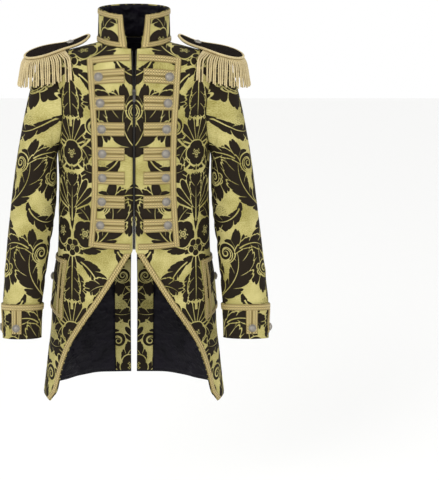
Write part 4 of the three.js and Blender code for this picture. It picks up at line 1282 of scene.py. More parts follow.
# %% The sleeve's sections
SLEEVE_COLUMNS = (
    "at", "outer_x", "outer_z", "inner_x", "inner_z", "depth", "y", "hollow", "lift", "broad",
)
SLEEVE_ROWS = [
    (0, 213, -34, 186, -265, 63, 0, 29, 0, 0),
    (1, 232, -60, 187.6, -270, 63, 0, 20, 0, 0),
    (2, 246, -99, 188.3, -277, 63, 0, 11, 0, 0),
    (3, 258, -143, 188.5, -285, 63, 0, 5, 0, 0),
    (4, 269, -192, 188.6, -296, 62, -1, 1.5, 0, 0),
    (5, 280, -246, 188.8, -314, 61, -2, 0, 0, 0),
    (6, 290, -303, 189.2, -345, 60, -4, 0, 1, 0),
    (7, 299, -365, 191.5, -388, 59.5, -7, 0, 3, 0),
    (8, 306, -423, 197, -434, 58.5, -13, 0, 5, 1),
    (9, 312, -476, 204.5, -480, 57, -23, 0, 7, 2),
    (10, 316, -526, 212, -526, 55, -36, 0, 8, 4),
    (11, 319.5, -577, 219, -577, 52.5, -51, 0, 9, 6),
    (12, 322.5, -629, 226, -629, 50, -66, 0, 10, 8),
    (13, 320.5, -668, 229, -668, 48.5, -78, 0, 10, 8),
    (14, 319.5, -708, 230, -708, 47.5, -90, 0, 10, 8),
]
arm = curves(SLEEVE_COLUMNS, SLEEVE_ROWS)
AT_STEP = 50.0  # millimetres of cloth to a section along the sleeve
ROUND_STEP = 1.05  # millimetres of cloth to a degree round it
# across is degrees round (0 outside, 90 front, 180 inside, 270 back) times ROUND_STEP,
# along is the section times AT_STEP
SLEEVE_CREASES = [
    (70, 350, 190, 372, 11, -3.8),
    (96, 392, 204, 402, 9, -3.4),
    (40, 408, 158, 436, 10, -3.2),
    (120, 438, 214, 458, 10, -3.2),
    (86, 322, 200, 330, 8, -2.0),
    (60, 470, 150, 500, 9, -2.2),
    (250, 272, 350, 296, 10, -2.6),
    (262, 336, 340, 366, 8, -1.8),
    (0, 520, 66, 548, 10, 2.0),
    (20, 566, 112, 590, 8, -1.7),
    (150, 524, 236, 556, 9, -2.0),
    (280, 480, 352, 520, 9, -1.9),
    (130, 80, 176, 172, 10, -2.4),
    (112, 60, 140, 138, 8, -1.5),
    (222, 88, 196, 180, 10, -2.2),
    (40, 150, 96, 216, 13, -1.3),
    (10, 220, 84, 262, 12, -1.2),
    (98, 232, 176, 262, 9, -1.9),
    (346, 180, 300, 250, 13, -1.2),
    (200, 592, 300, 604, 8, -1.5),
]


def armhole_point(turn):
    """The armhole's edge: 0 at the shoulder's tip, 90 in front, 180 under the arm."""
    z = ARMHOLE_MIDDLE + ARMHOLE_HALF * np.cos(np.radians(turn))
    y = -ARMHOLE_DEPTH * np.sin(np.radians(turn))
    depth = np.where(y < 0, ring["front"](z), ring["back"](z))
    share = 1 - (np.abs(y) / depth) ** ring["square"](z)
    x = ring["half"](z) * share ** (1 / ring["square"](z))
    return np.stack([x + SEAM + 0.2, y, z - 0.1], -1)


def sleeve_maker(broad, mirror):
    """The surface of one sleeve; broad is 1 for the arm that is turned further out."""

    def surface(at, turn):
        at, turn = np.broadcast_arrays(np.asarray(at, float), np.asarray(turn, float))
        row = np.maximum(at, 1)
        cos, sin = np.cos(np.radians(turn)), np.sin(np.radians(turn))
        across = (turn % 360) * ROUND_STEP
        crease = crease_sum(SLEEVE_CREASES, across, at * AT_STEP, 360 * ROUND_STEP)
        crease = crease * (0.85 + 0.3 * mirror)
        outer = np.stack([arm["outer_x"](row), arm["outer_z"](row)], -1)
        inner = np.stack([arm["inner_x"](row), arm["inner_z"](row)], -1)
        centre, half = (outer + inner) / 2, (outer - inner) / 2
        length = np.linalg.norm(half, axis=-1)
        half = half * ((length + broad * arm["broad"](row) + crease) / length)[..., None]
        depth = arm["depth"](row) - 0.4 * broad * arm["broad"](row) + crease
        x = centre[..., 0] + half[..., 0] * cos - arm["hollow"](row) * sin * sin
        y = arm["y"](row) - depth * sin
        z = centre[..., 1] + half[..., 1] * cos + arm["lift"](row) * sin
        ring_point = np.stack([x, y, z], -1)
        share = np.clip(at, 0, 1)[..., None]
        return armhole_point(turn) * (1 - share) + ring_point * share

    return surface


def on_sleeve(side):
    """A function that gives points on one sleeve, moved out along its normal."""
    surface = sleeve_maker(1 if side > 0 else 0, 1 if side > 0 else 0.4)

    def place(at, turn, out):
        points = moved_out(surface, at, turn, out, 0.04, 0.5)
        return points * np.array([side, 1, 1])

    return place


def sleeve_lengths():
    """Length of cloth from each section to the wrist, along the outer and the inner edge."""
    at = spaced(0, 14.2, 142)
    outer = np.stack([arm["outer_x"](at), arm["outer_z"](at)], 1)
    inner = np.stack([arm["inner_x"](at), arm["inner_z"](at)], 1)
    found = []
    for line in (outer, inner):
        steps = np.linalg.norm(np.diff(line, axis=0), axis=1)
        found.append(curve(at, np.concatenate([[0], np.cumsum(steps)]) - steps.sum()))
    return found


OUTER_LENGTH, INNER_LENGTH = sleeve_lengths()
SLEEVE_SEAM = 205.0  # degrees round where the sleeve's seam runs, towards the back


def sleeve_map(at, turn, side):
    """Flat place on the sleeve's cloth; turn runs from the seam right round to it again."""
    blend = (1 - np.cos(np.radians(turn))) / 2
    up = -(OUTER_LENGTH(at) * (1 - blend) + INNER_LENGTH(at) * blend)
    girth = np.pi * (arm["depth"](at) + (arm["outer_x"](at) - arm["inner_x"](at)) / 2)
    girth = np.clip(girth, 300, 400)
    across = (turn - SLEEVE_SEAM - 180) / 360 * girth
    return np.stack([side * across, up], -1)


def sleeve_walls(side):
    place = on_sleeve(side)
    at = np.concatenate([spaced(0, 1, 12)[:-1], spaced(1, 13.9, 122)])[:, None]
    turn = SLEEVE_SEAM + spaced(0, 360, 92)[None, :]
    along = turn / 360 * 640
    out = 0.9 * seam_dip(at * 26 + 0.4, along) + 0 * turn
    eased = np.exp(-((at * 26 / 15) ** 2)) * np.clip(np.cos(np.radians(turn)) + 0.5, 0, 1)
    out = out + 0.5 * eased * (np.sin(along / 5.2) + 0.5 * np.sin(along / 2.9 + 2))
    outer = place(at, turn, out)[:, :-1]
    inner = place(at, turn, np.full(out.shape, -WALL))[:, :-1]
    flat = sleeve_map(at + 0 * turn, turn + 0 * at, side) + np.array([side * 60.0, 120.0])
    return wall_data(outer, inner, flat, closed=True)


for worn, side in SIDES.items():
    walls = [sleeve_walls(side)]
    piece = cloth_piece(worn + "_sleeve", walls, [BROCADE, SATIN], (0, 1, 0))
    settle(piece, ["sleeve_" + worn])
    print("sleeve area:", round(face_area(walls), 4))

# %% [markdown]
# ## Cuffs
# The cuff is a second layer, turned back over the sleeve's end and held by a ring of braid at its
# top. Its edges are folded, so they stand a little proud and round.

# %% Cuffs
CUFF = {"top": 12, "ring_end": 12.35, "bar_end": 13.75, "bottom": 14.05, "rise": 0.8, "button": 13.42}


def cuff_walls(side):
    place = on_sleeve(side)
    at = spaced(CUFF["top"], CUFF["bottom"], 26)[:, None]
    turn = SLEEVE_SEAM + spaced(0, 360, 92)[None, :]
    edge = np.minimum(at - CUFF["top"], CUFF["bottom"] - at) * 42
    roll = 0.45 * np.exp(-((edge / 2.6) ** 2)) + 0.12 * np.sin(turn / 9.0) * np.exp(-edge / 9)
    out = CUFF["rise"] + WALL + roll + 0 * turn
    outer = place(at, turn, out)[:, :-1]
    inner = place(at, turn, np.full(out.shape, CUFF["rise"]))[:, :-1]
    flat = sleeve_map(at + 0 * turn, turn + 0 * at, side) + np.array([side * 24.0, 300.0])
    return wall_data(outer, inner, flat, closed=True)


for worn, side in SIDES.items():
    walls = [cuff_walls(side)]
    piece = cloth_piece(worn + "_turned_cuff", walls, [BROCADE], (0, 0, 0))
    settle(piece, ["cuff_" + worn])
    print("cuff area:", round(face_area(walls), 4))

# %% [markdown]
# ## Braid on the cloth
# Each braid is a flat band that lies on its panel. It is made from the panel's own points moved
# out, with a rounded section, so that it follows every crease under it and shows no gap.

# %% A band laid on a surface
BRAID_RISE, BRAID_THICK = 0.75, 1.5


def band_wall(place, along, across, lengths, rise, thick=BRAID_THICK, map_shift=0.0, swell=0.0):
    """A band: place(along, share, out) gives points, share runs across it from 0 to 1."""
    share = spaced(0, 1, across)[None, :]
    along = np.asarray(along, float)[:, None]
    profile = 1 - np.abs(2 * share - 1) ** 5 * 0.55
    top = rise + thick * profile + swell * (1 - (2 * share - 1) ** 2)
    outer = place(along, share, top + 0 * along)
    inner = place(along, share, np.full((len(along), across + 1), rise))
    flat = np.stack(np.broadcast_arrays(share, np.asarray(lengths)[:, None] + map_shift), -1)
    return wall_data(outer, inner, flat)


def path_lengths(points):
    """Length along a row of points, in millimetres."""
    steps = np.linalg.norm(np.diff(points, axis=0), axis=1)
    return np.concatenate([[0], np.cumsum(steps)])


def band_on(place, along, across, rise, **more):
    middle = place(np.asarray(along, float)[:, None], np.array([[0.5]]), np.zeros((len(along), 1)))
    return band_wall(place, along, across, path_lengths(middle[:, 0]), rise, **more)


BAND_SCALE = (1, MM)


def braid_piece(name, walls):
    """Gold braid that stands for the node of that name."""
    piece = cloth_piece("gold_" + name, walls, [BRAID], (0, 0, 0), "Band", BAND_SCALE)
    settle(piece, [name])
    print("braid area:", round(face_area(walls), 5))
    return piece


# %% The breast's frame and bars
# height, x of the frame's outer edge
BIB_SIDE = np.array([
    (-35, 109), (-120, 103.5), (-200, 99), (-280, 98), (-350, 99.5), (-420, 104), (-479, 109.3),
], float)
# height, how far a level line rises at the zip
BIB_BOW = np.array([(-35, 10), (-80, 8), (-137, 4), (-195, 0), (-400, 0), (-479, -5)], float)
bib_side_x = curve(BIB_SIDE[:, 0], BIB_SIDE[:, 1])
bib_bow = curve(BIB_BOW[:, 0], BIB_BOW[:, 1])
BIB = {"zip_x": 9, "bar_x": 22, "top": -35, "bottom": -479, "first": -80, "step": 57.4}
BAR_HALF, BRAID_WIDTH = 15.5, 14.0
BARS = [BIB["first"] - BIB["step"] * i for i in range(7)]


def on_bib(side):
    def place(z, x, out):
        rise = bib_bow(z) * (1 - (x / bib_side_x(z)) ** 2)
        return on_front(side * x, z + rise, out)

    return place


def bib_walls(side):
    place = on_bib(side)

    def level(z_low, z_high):
        """A band that runs outwards from the zip, between two heights."""
        return lambda x, share, out: place(z_low + (z_high - z_low) * share, x, out)

    def upright(z, share, out):
        return place(z, bib_side_x(z) - BRAID_WIDTH * (1 - share), out)

    bands = []
    for top in (BIB["top"], BIB["bottom"] + BRAID_WIDTH):
        inner_edge = bib_side_x(top - 7) - BRAID_WIDTH * 0.9
        across = spaced(BIB["zip_x"], float(inner_edge), 44)
        bands.append(band_on(level(top - BRAID_WIDTH, top), across, 10, BRAID_RISE))
    for middle in BARS:
        end = float(bib_side_x(middle)) - BRAID_WIDTH + 1.5
        across = spaced(BIB["bar_x"], end, 36)
        for low, high in ((-BAR_HALF, -0.35), (0.35, BAR_HALF)):
            strip = level(middle + low, middle + high)
            bands.append(band_on(strip, across, 10, BRAID_RISE, swell=0.35))
    heights = spaced(BIB["top"], BIB["bottom"], 200)
    bands.append(band_on(upright, heights, 10, BRAID_RISE + 0.35))
    return bands


for worn, side in SIDES.items():
    braid_piece("bib_braid_" + worn, bib_walls(side))

# %% Braids of the cutaway and the vent
def cut_angle(z):
    return angle_at_x(front_edge_x(z), z)


def vent_angle(z):
    return 180 - angle_at_x(vent_gap(z) / 2, z)


def in_from(edge_angle, z, distance):
    """The angle a distance in from an edge, square to it along the cloth."""
    along = body_point(z + 1, edge_angle(z + 1)) - body_point(z - 1, edge_angle(z - 1))
    round_it = body_point(z, edge_angle(z) + 1) - body_point(z, edge_angle(z) - 1)
    sine = np.linalg.norm(np.cross(along, round_it), axis=-1) / np.linalg.norm(along, axis=-1)
    return edge_angle(z) + distance * 2 / sine


def from_edge(side, edge_angle, inwards, first, width):
    """Places on a band beside an edge: share 0 is nearest to the edge."""

    def place(z, share, out):
        z, share = np.broadcast_arrays(z, share)
        distance = first + width * share
        angle = in_from(edge_angle, z, inwards * distance)
        height = np.maximum(z, hem_z(angle) + 0.6)
        angle = in_from(edge_angle, height, inwards * distance)
        return on_body(height, side * angle, out)

    return place


HEM_ROW = -900
CUT_INSET, VENT_INSET, VENT_BRAID_WIDTH = 0.6, 0.5, 16.0
for worn, side in SIDES.items():
    cut_place = from_edge(side, cut_angle, 1, CUT_INSET, BRAID_WIDTH)
    heights = np.concatenate([spaced(WAIST - 9, -872, 150), [-884, HEM_ROW]])
    walls = [band_on(cut_place, heights, 10, BRAID_RISE + 0.3)]
    braid_piece("cutaway_braid_" + worn, walls)
    vent_place = from_edge(side, vent_angle, -1, VENT_INSET, VENT_BRAID_WIDTH)
    heights = np.concatenate([spaced(-437, -872, 130), [HEM_ROW]])
    walls = [band_on(vent_place, heights, 10, BRAID_RISE)]
    braid_piece("vent_braid_" + worn, walls)

# %% Braids of the cuffs
def level(place, low, high):
    """Places on a band that runs round a surface, between two heights of it."""
    return lambda along, across, out: place(low + (high - low) * across, along, out)


def upright(place, first, last):
    """Places on a band that runs up a surface, between two places round it."""
    return lambda along, across, out: place(along, first + (last - first) * across, out)


# middle and half width in degrees round the sleeve, and how many bands lie side by side
CUFF_BARS = [(80, 15, 2), (10, 15, 2), (215, 7.5, 1)]
for worn, side in SIDES.items():
    place = on_sleeve(side)
    rise = CUFF["rise"] + WALL + 0.5
    ring_turns = SLEEVE_SEAM + spaced(0, 360, 150)

    def round_cuff(turn, share, out):
        return place(CUFF["top"] + 0.02 + (CUFF["ring_end"] - CUFF["top"]) * share, turn, out)

    walls = [band_on(round_cuff, ring_turns, 10, rise)]
    for middle, half, count in CUFF_BARS:
        edges = spaced(middle - half, middle + half, count)
        for low, high in zip(edges[:-1], edges[1:]):
            bar = upright(place, low + 0.35, high - 0.35)
            rows = spaced(CUFF["ring_end"] - 0.02, CUFF["bar_end"], 40)
            walls.append(band_on(bar, rows, 10, rise, swell=0.3))
    braid_piece("cuff_braid_" + worn, walls)

# %% [markdown]
# ## Collar
# The stand collar is a straight strip with a little curve, stiff enough to stand. Braid runs round
# its top, bottom and front edges, and its black lining shows inside.

# %% Collar, its braid and its lining
COLLAR = {"half": 84, "front": 75, "back": 60, "front_top": 63, "side_top": 78, "back_top": 88}
COLLAR_GAP = (15, 25)  # half of the opening at the throat, at the bottom and at the top


def collar_point(up, angle):
    up, angle = np.broadcast_arrays(np.asarray(up, float), np.asarray(angle, float))
    sin, cos = np.sin(np.radians(angle)), np.cos(np.radians(angle))
    base = body_point(neckline_z(angle), angle) + np.array([0, 0, SEAM])
    forward = COLLAR["side_top"] + (COLLAR["front_top"] - COLLAR["side_top"]) * np.abs(cos) ** 1.5
    behind = COLLAR["side_top"] + (COLLAR["back_top"] - COLLAR["side_top"]) * np.abs(cos)
    depth = np.where(cos > 0, COLLAR["front"], COLLAR["back"])
    top = np.stack([COLLAR["half"] * sin, -depth * cos, np.where(cos > 0, forward, behind)], -1)
    return base * (1 - up[..., None]) + top * up[..., None]


COLLAR_START = float(angle_at_x(COLLAR_GAP[0], -13))
COLLAR_START_TOP = math.degrees(math.asin(COLLAR_GAP[1] / COLLAR["half"]))
COLLAR_LONG = 490.0


def on_collar(up, share, out):
    """up from seam to top edge, share from the wearer's left front round to the right."""
    start = COLLAR_START + (COLLAR_START_TOP - COLLAR_START) * up
    return moved_out(collar_point, up, start + (360 - 2 * start) * share, out, 0.02, 0.5)


def collar_walls(low, high, first, last, top, foot, rows=20, columns=170):
    up, share = spaced(low, high, rows)[:, None], spaced(first, last, columns)[None, :]
    outer = on_collar(up, share, np.full((rows + 1, columns + 1), top))
    inner = on_collar(up, share, np.full((rows + 1, columns + 1), foot))
    flat = np.stack(np.broadcast_arrays((share - 0.5) * COLLAR_LONG, up * 84.0), -1)
    return wall_data(outer, inner, flat + np.array([240.0, 20.0]))


walls = [collar_walls(0, 1, 0, 1, 0, -WALL)]
collar = cloth_piece("stand_collar", walls, [BROCADE], (0, 0, 0))
settle(collar, ["collar"])
print("collar area:", round(face_area(walls), 4))

walls = [collar_walls(0.04, 0.97, 0.004, 0.996, -2.6, -3.8, 16, 120)]
neck_lining = cloth_piece("collar_lining", walls, [SATIN], (0, 0, 0))
settle(neck_lining, ["neck_lining"])
print("neck lining area:", round(face_area(walls), 4))


shares = spaced(0.002, 0.998, 190)
walls = [band_on(level(on_collar, low, low + 0.15), shares, 10, BRAID_RISE) for low in (0.015, 0.835)]
for first, last in ((0.002, 0.028), (0.972, 0.998)):
    upright_band = band_on(upright(on_collar, first, last), spaced(0.02, 0.98, 40), 10, BRAID_RISE + 0.3)
    walls.append(upright_band)
braid_piece("collar_braid", walls)

# %% [markdown]
# ## Inside the tails
# The tails are lined in black satin, and each side of the vent has a facing of brocade turned in.
# The lining is the fronts' and back's own surface moved inwards, with soft ripples of its own
# where the satin is a little longer than the cloth it lines.

# %% Tail linings and vent facings
FACING = {"width": 45, "top": -440, "out": -WALL - 1.6}
LINING_OUT = -WALL - 1.9
LINING_THICK = 1.2


def lining_walls(side):
    heights = spaced(WAIST - 4, -878, 66)
    rows = [("trunk", z) for z in heights]
    front_shares = spaced(0, 1, 44)
    z, angle = panel_places(rows, np.maximum(front_shares, 0.02), front_start, front_end)
    parts = [(z, angle)]
    z, angle = panel_places(rows, spaced(0, 1, 40)[1:], back_start, back_end)
    kinds = np.full((len(rows), 1), "trunk")
    first = back_start(kinds, heights[:, None], heights[:, None])
    last = in_from(vent_angle, heights[:, None], -FACING["width"] - 1.5)
    parts.append((z, first + (last - first) * spaced(0, 1, 40)[1:]))
    z = np.concatenate([part[0] for part in parts], 1)
    angle = np.concatenate([part[1] for part in parts], 1)
    z = np.maximum(z, hem_z(angle) + 7)
    ripple = 0.55 * np.sin(angle / 3.1 + z / 37) + 0.4 * np.sin(angle / 1.7 - z / 23 + 1)
    ripple = ripple - 0.7 + 0.5 * np.sin(z / 19 + angle / 7)
    grown = np.clip((WAIST - 4 - z) / 60, 0, 1)
    outer = on_body(z, side * angle, np.full(z.shape, LINING_OUT))
    inner = on_body(z, side * angle, LINING_OUT - LINING_THICK + ripple * grown)
    flat = np.stack([girth_to(z, angle), z], -1)
    return wall_data(outer, inner, flat)


def facing_walls(side):
    place = from_edge(side, vent_angle, -1, 1.0, FACING["width"] - 1.0)
    z = spaced(FACING["top"], -882, 100)[:, None]
    share = spaced(0, 1, 14)[None, :]
    everywhere = np.ones((z.size, share.size))
    outer = place(z, share, everywhere * FACING["out"])
    inner = place(z, share, everywhere * (FACING["out"] - LINING_THICK))
    flat = np.stack(np.broadcast_arrays(side * (share * 44 + 40), z), -1)
    return wall_data(outer, inner, flat)


for worn, side in SIDES.items():
    walls = [lining_walls(side)]
    piece = cloth_piece(worn + "_tail_lining", walls, [SATIN], (0, 0, 0))
    settle(piece, ["tail_lining_" + worn])
    print("lining area:", round(face_area(walls), 4))
    walls = [facing_walls(side)]
    piece = cloth_piece(worn + "_vent_facing", walls, [BROCADE], (0, 0, 0))
    settle(piece, ["vent_facing_" + worn])
    print("facing area:", round(face_area(walls), 4))

# %% [markdown]
# ## Pocket flaps
# A long flap covers each hip pocket. Its lower edge dips at the corners, and it is edged with
# braid, doubled into two upright strips at each end, with one button.

# %% Pocket flaps and their braid
POCKET = {"first": 56.5, "last": 125, "top": -521, "corner": -675, "middle": -655}
POCKET_RISE, POCKET_THICK = 0.8, 1.8


def on_pocket(side):
    def place(down, share, out):
        to_corner = np.abs(2 * share - 1) ** 1.4
        bottom = POCKET["middle"] + (POCKET["corner"] - POCKET["middle"]) * to_corner
        z = POCKET["top"] + (bottom - POCKET["top"]) * down
        angle = POCKET["first"] + (POCKET["last"] - POCKET["first"]) * share
        return on_body(z, side * angle, out)

    return place


for worn, side in SIDES.items():
    place = on_pocket(side)
    down, share = spaced(0, 1, 36)[:, None], spaced(0, 1, 60)[None, :]
    top = POCKET_RISE + POCKET_THICK + 0 * down * share
    outer, inner = place(down, share, top), place(down, share, top - POCKET_THICK)
    flat = np.stack(np.broadcast_arrays(side * share * 159.0, -143.0 * down), -1)
    walls = [wall_data(outer, inner, flat + np.array([side * 70.0, 90.0]))]
    piece = cloth_piece(worn + "_pocket_flap", walls, [BROCADE], (0, 0, 0))
    settle(piece, ["pocket_flap_" + worn])
    print("flap area:", round(face_area(walls), 4))

    rise = POCKET_RISE + POCKET_THICK + 0.4
    shares = spaced(0.01, 0.99, 90)
    walls = [band_on(level(place, low, low + 0.08), shares, 8, rise) for low in (0, 0.92)]
    for first, last in ((0, 0.063), (0.092, 0.155), (0.845, 0.908), (0.937, 1)):
        strip = upright(place, first, last)
        walls.append(band_on(strip, spaced(0.004, 0.996, 60), 10, rise + 0.3))
    braid_piece("pocket_braid_" + worn, walls)

# %% [markdown]
# ## Buttons
# Twenty-four cast buttons: a domed face with a rope rim and a ring of shallow flutes, a common
# pattern of no one maker. A turned profile alone would look like a plain knob, so the rim's
# twist and the flutes are moved into the same turned mesh.

# %% A cast button
# distance from the middle and height, both as shares of the radius and of the height
BUTTON_PROFILE = [
    (0.0, 1.0), (0.1, 0.995), (0.2, 0.975), (0.3, 0.94), (0.4, 0.89), (0.5, 0.82), (0.58, 0.745),
    (0.66, 0.655), (0.72, 0.58), (0.76, 0.5), (0.8, 0.46), (0.84, 0.5), (0.88, 0.55), (0.92, 0.55),
    (0.96, 0.49), (0.99, 0.38), (1.0, 0.26), (0.985, 0.12), (0.95, 0.02), (0.9, 0.0), (0.0, 0.0),
]
BUTTON_HIGH = 6.6
BUTTON_RADIUS = {"breast": 10.5, "cuff": 9.5, "vent": 9.3, "pocket": 9.8, "epaulette": 9}
BUTTON_SEAT = 0.35  # a button stands this far off the cloth or braid under it


def button_mesh(name, spots):
    """One mesh of all the buttons at spots: (foot, normal, radius, turn)."""
    points, faces = [], []
    around = 48
    turn = np.arange(around) / around * math.tau
    for foot, normal, radius, spin in spots:
        normal = normal / np.linalg.norm(normal)
        side_way = np.cross(normal, [0.3, 0.1, 1.0])
        side_way /= np.linalg.norm(side_way)
        up_way = np.cross(normal, side_way)
        start = len(points)
        for share, height in BUTTON_PROFILE:
            rope = 0.035 * np.sin(turn * 20 + share * 14) * np.exp(-(((share - 0.92) / 0.05) ** 2))
            flute = 0.04 * np.cos(turn * 8) * np.exp(-(((share - 0.5) / 0.16) ** 2))
            boss = 0.03 * math.exp(-(((share - 0.22) / 0.05) ** 2))
            level = (height + (rope + flute + boss) * (height > 0.1)) * BUTTON_HIGH
            out = share * radius
            for k in range(around):
                angle = turn[k] + spin
                flat = side_way * math.cos(angle) + up_way * math.sin(angle)
                points.append(foot + flat * out + normal * level[k])
        for i in range(len(BUTTON_PROFILE) - 1):
            for k in range(around):
                a, b = start + i * around + k, start + i * around + (k + 1) % around
                faces.append((a, b, b + around, a + around))
    piece = make_object(name, points, faces, [SILVER])
    weld(piece, 0.00001)
    return piece


def weld(piece, distance):
    """Joins the points at a button's two poles, so no face is left without area."""
    mesh = bmesh.new()
    mesh.from_mesh(piece.data)
    bmesh.ops.remove_doubles(mesh, verts=mesh.verts, dist=distance)
    bmesh.ops.dissolve_degenerate(mesh, edges=mesh.edges, dist=distance)
    bmesh.ops.recalc_face_normals(mesh, faces=mesh.faces)
    mesh.to_mesh(piece.data)
    mesh.free()


def spot(place, row, column, seat, radius, spin):
    """Where a button sits: a point of its seat and the way it faces."""
    row, column = np.array(float(row)), np.array(float(column))
    foot = place(row, column, np.array(seat + BUTTON_SEAT))
    ahead = place(row, column, np.array(seat + 1 + BUTTON_SEAT))
    return foot, ahead - foot, radius, spin


# %% Placing the buttons
def on_vent_side(side):
    return lambda z, x, out: on_body(z, side * (180 - angle_at_x(x, z)), out)


def button_groups():
    """Name of each group of buttons, its nodes and its spots."""
    groups = {"breast": [], "cuff": [], "vent": [], "pocket": []}
    for worn, side in SIDES.items():
        bib = on_bib(side)
        for i, z in enumerate(BARS):
            x = float(bib_side_x(z)) - 25
            place = spot(bib, z, x, BRAID_RISE + BRAID_THICK, BUTTON_RADIUS["breast"], i * 0.7)
            groups["breast"].append((f"breast_button_{worn}_{i + 1}", place))
        cuff, seat = on_sleeve(side), CUFF["rise"] + WALL + 0.5 + BRAID_THICK
        front = spot(cuff, CUFF["button"], 80, seat, BUTTON_RADIUS["cuff"], 0.4)
        outer = spot(cuff, CUFF["button"], 10, seat - BUTTON_SEAT, BUTTON_RADIUS["cuff"], 1.1)
        groups["cuff"].append((f"cuff_button_front_{worn}", front))
        groups["cuff"].append((f"cuff_button_side_{worn}", outer))
        vent = spot(on_vent_side(side), -424, 9.9, 0.2, BUTTON_RADIUS["vent"], 0.2)
        groups["vent"].append((f"vent_button_{worn}", vent))
        seat, radius = POCKET_RISE + POCKET_THICK, BUTTON_RADIUS["pocket"]
        flap = spot(on_pocket(side), 0.43, 0.49, seat, radius, 0.9)
        groups["pocket"].append((f"pocket_button_{worn}", flap))
    return groups


for group, spots in button_groups().items():
    piece = button_mesh(group + "_buttons", [place for _, place in spots])
    settle(piece, [name for name, _ in spots])

# %% [markdown]
# ## Epaulettes
# A stiff board of black felt, spoon-shaped, with a twisted cord round its edge and a fringe of
# bullion cords that hang from its round end. A flat strip with a picture of threads would not part
# or shine like cords, so each strand is its own twisted tube, hung from one strip under the board.

# %% The spoon's outline
BOARD = {"neck_x": 108, "ridge_z": -6.4, "thick": 8, "rise": 5.9, "tilt": 12, "cord": 3, "gap": 0.35}
NECK_LIFT = {"reach": 46, "height": 7}
# along the board from its neck end, half its width there
SPOON = [
    (2, 15), (13, 21.5), (38, 23), (60, 26), (80, 34.5), (100, 41.5), (119, 42.5), (137, 34.5),
    (148, 19),
]
SPOON_POINTS = np.array(
    [(-3, 0)] + [(a, -h) for a, h in SPOON] + [(152, 0)] + [(a, h) for a, h in SPOON[::-1]], float
)


def spoon_line(share):
    """The spoon's closed outline and its direction; share runs from 0 to 1."""
    share = np.asarray(share, float) % 1.0
    count = len(SPOON_POINTS)
    i = np.floor(share * count).astype(int) % count
    t = share * count - np.floor(share * count)
    p0, p1, p2, p3 = (SPOON_POINTS[(i + k) % count] for k in (-1, 0, 1, 2))
    d0, d1, d2 = (np.linalg.norm(b - a, axis=-1)[..., None] ** 0.5
                  for a, b in ((p0, p1), (p1, p2), (p2, p3)))
    leave = ((p1 - p0) / d0 - (p2 - p0) / (d0 + d1) + (p2 - p1) / d1) * d1
    arrive = ((p2 - p1) / d1 - (p3 - p1) / (d1 + d2) + (p3 - p2) / d2) * d1
    t = t[..., None]
    rest = -3 * p1 + 3 * p2 - 2 * leave - arrive
    bend = 2 * p1 - 2 * p2 + leave + arrive
    point = p1 + leave * t + rest * t * t + bend * t**3
    way = leave + 2 * rest * t + 3 * bend * t * t
    return point, way / np.linalg.norm(way, axis=-1, keepdims=True)


SHOULDER_FALL = math.pi / 2 - math.atan2(float(ring["half"](-26) - ring["half"](-8)), 18)
BOARD_TILT = math.radians(BOARD["tilt"])


def board_point(along, across, height):
    """The board's own frame: along the shoulder's ridge, across it, up from its underside."""
    along, across, height = np.broadcast_arrays(along, across, height)
    lift = NECK_LIFT["height"] * np.clip(1 - along / NECK_LIFT["reach"], 0, 1.1) ** 2
    up = height + BOARD["rise"] + lift
    y = across * math.cos(BOARD_TILT) - up * math.sin(BOARD_TILT)
    z = across * math.sin(BOARD_TILT) + up * math.cos(BOARD_TILT)
    cos, sin = math.cos(SHOULDER_FALL), math.sin(SHOULDER_FALL)
    x = BOARD["neck_x"] + along * cos + z * sin
    return np.stack([x, y, BOARD["ridge_z"] - along * sin + z * cos], -1)


def outline_point(share, outwards, height):
    point, way = spoon_line(share)
    return board_point(point[..., 0] + way[..., 1] * outwards,
                       point[..., 1] - way[..., 0] * outwards, height)


# %% The felt boards
def board_mesh(name, side):
    """Rings from the outline in to the middle line, over the top and under the foot."""
    around = 160
    share = np.arange(around) / around
    point, _ = spoon_line(share)
    middle = np.stack([np.clip(point[:, 0], 16, 128), np.zeros(around)], 1)
    # how far in from the outline, and height
    section = [(0.0, 0.2), (-0.35, 1.2), (-0.4, 4.0), (-0.35, 6.6), (0.02, 7.7), (0.06, 7.95),
               (0.12, 8.0), (0.25, 8.15), (0.5, 8.3), (0.75, 8.35), (1.0, 8.4)]
    section = section + [(share_in, 0.0) for share_in in (0.97, 0.6, 0.2, 0.03)]
    rings = []
    for inwards, height in section:
        grown = inwards / 40 if inwards < 0 else inwards
        flat = point * (1 - grown) + middle * grown
        rings.append(board_point(flat[:, 0], flat[:, 1], height) * np.array([side, 1, 1]))
    points = np.concatenate(rings)
    faces = []
    for i in range(len(rings)):
        nxt = (i + 1) % len(rings)
        for k in range(around):
            a, b = i * around + k, i * around + (k + 1) % around
            faces.append((a, b, nxt * around + (k + 1) % around, nxt * around + k))
    return make_object(name, points, faces, [FELT])


for worn, side in SIDES.items():
    piece = board_mesh(worn + "_felt_board", side)
    weld(piece, 0.00002)
    settle(piece, ["epaulette_board_" + worn])


# %% Twisted cords
PLY_DEEP = 0.26  # how deep the groove between two plies is, as a share of the radius


def frames_along(path):
    """For each point of a path, two directions square to it that don't spin."""
    way = np.gradient(path, axis=0)
    way /= np.linalg.norm(way, axis=1, keepdims=True)
    first = np.cross(way[0], [0.0, 0.0, 1.0])
    if np.linalg.norm(first) < 0.1:
        first = np.cross(way[0], [0.0, 1.0, 0.0])
    sides = []
    for direction in way:
        first = first - direction * first.dot(direction)
        first /= np.linalg.norm(first)
        sides.append((first, np.cross(direction, first)))
    return np.array([side[0] for side in sides]), np.array([side[1] for side in sides])


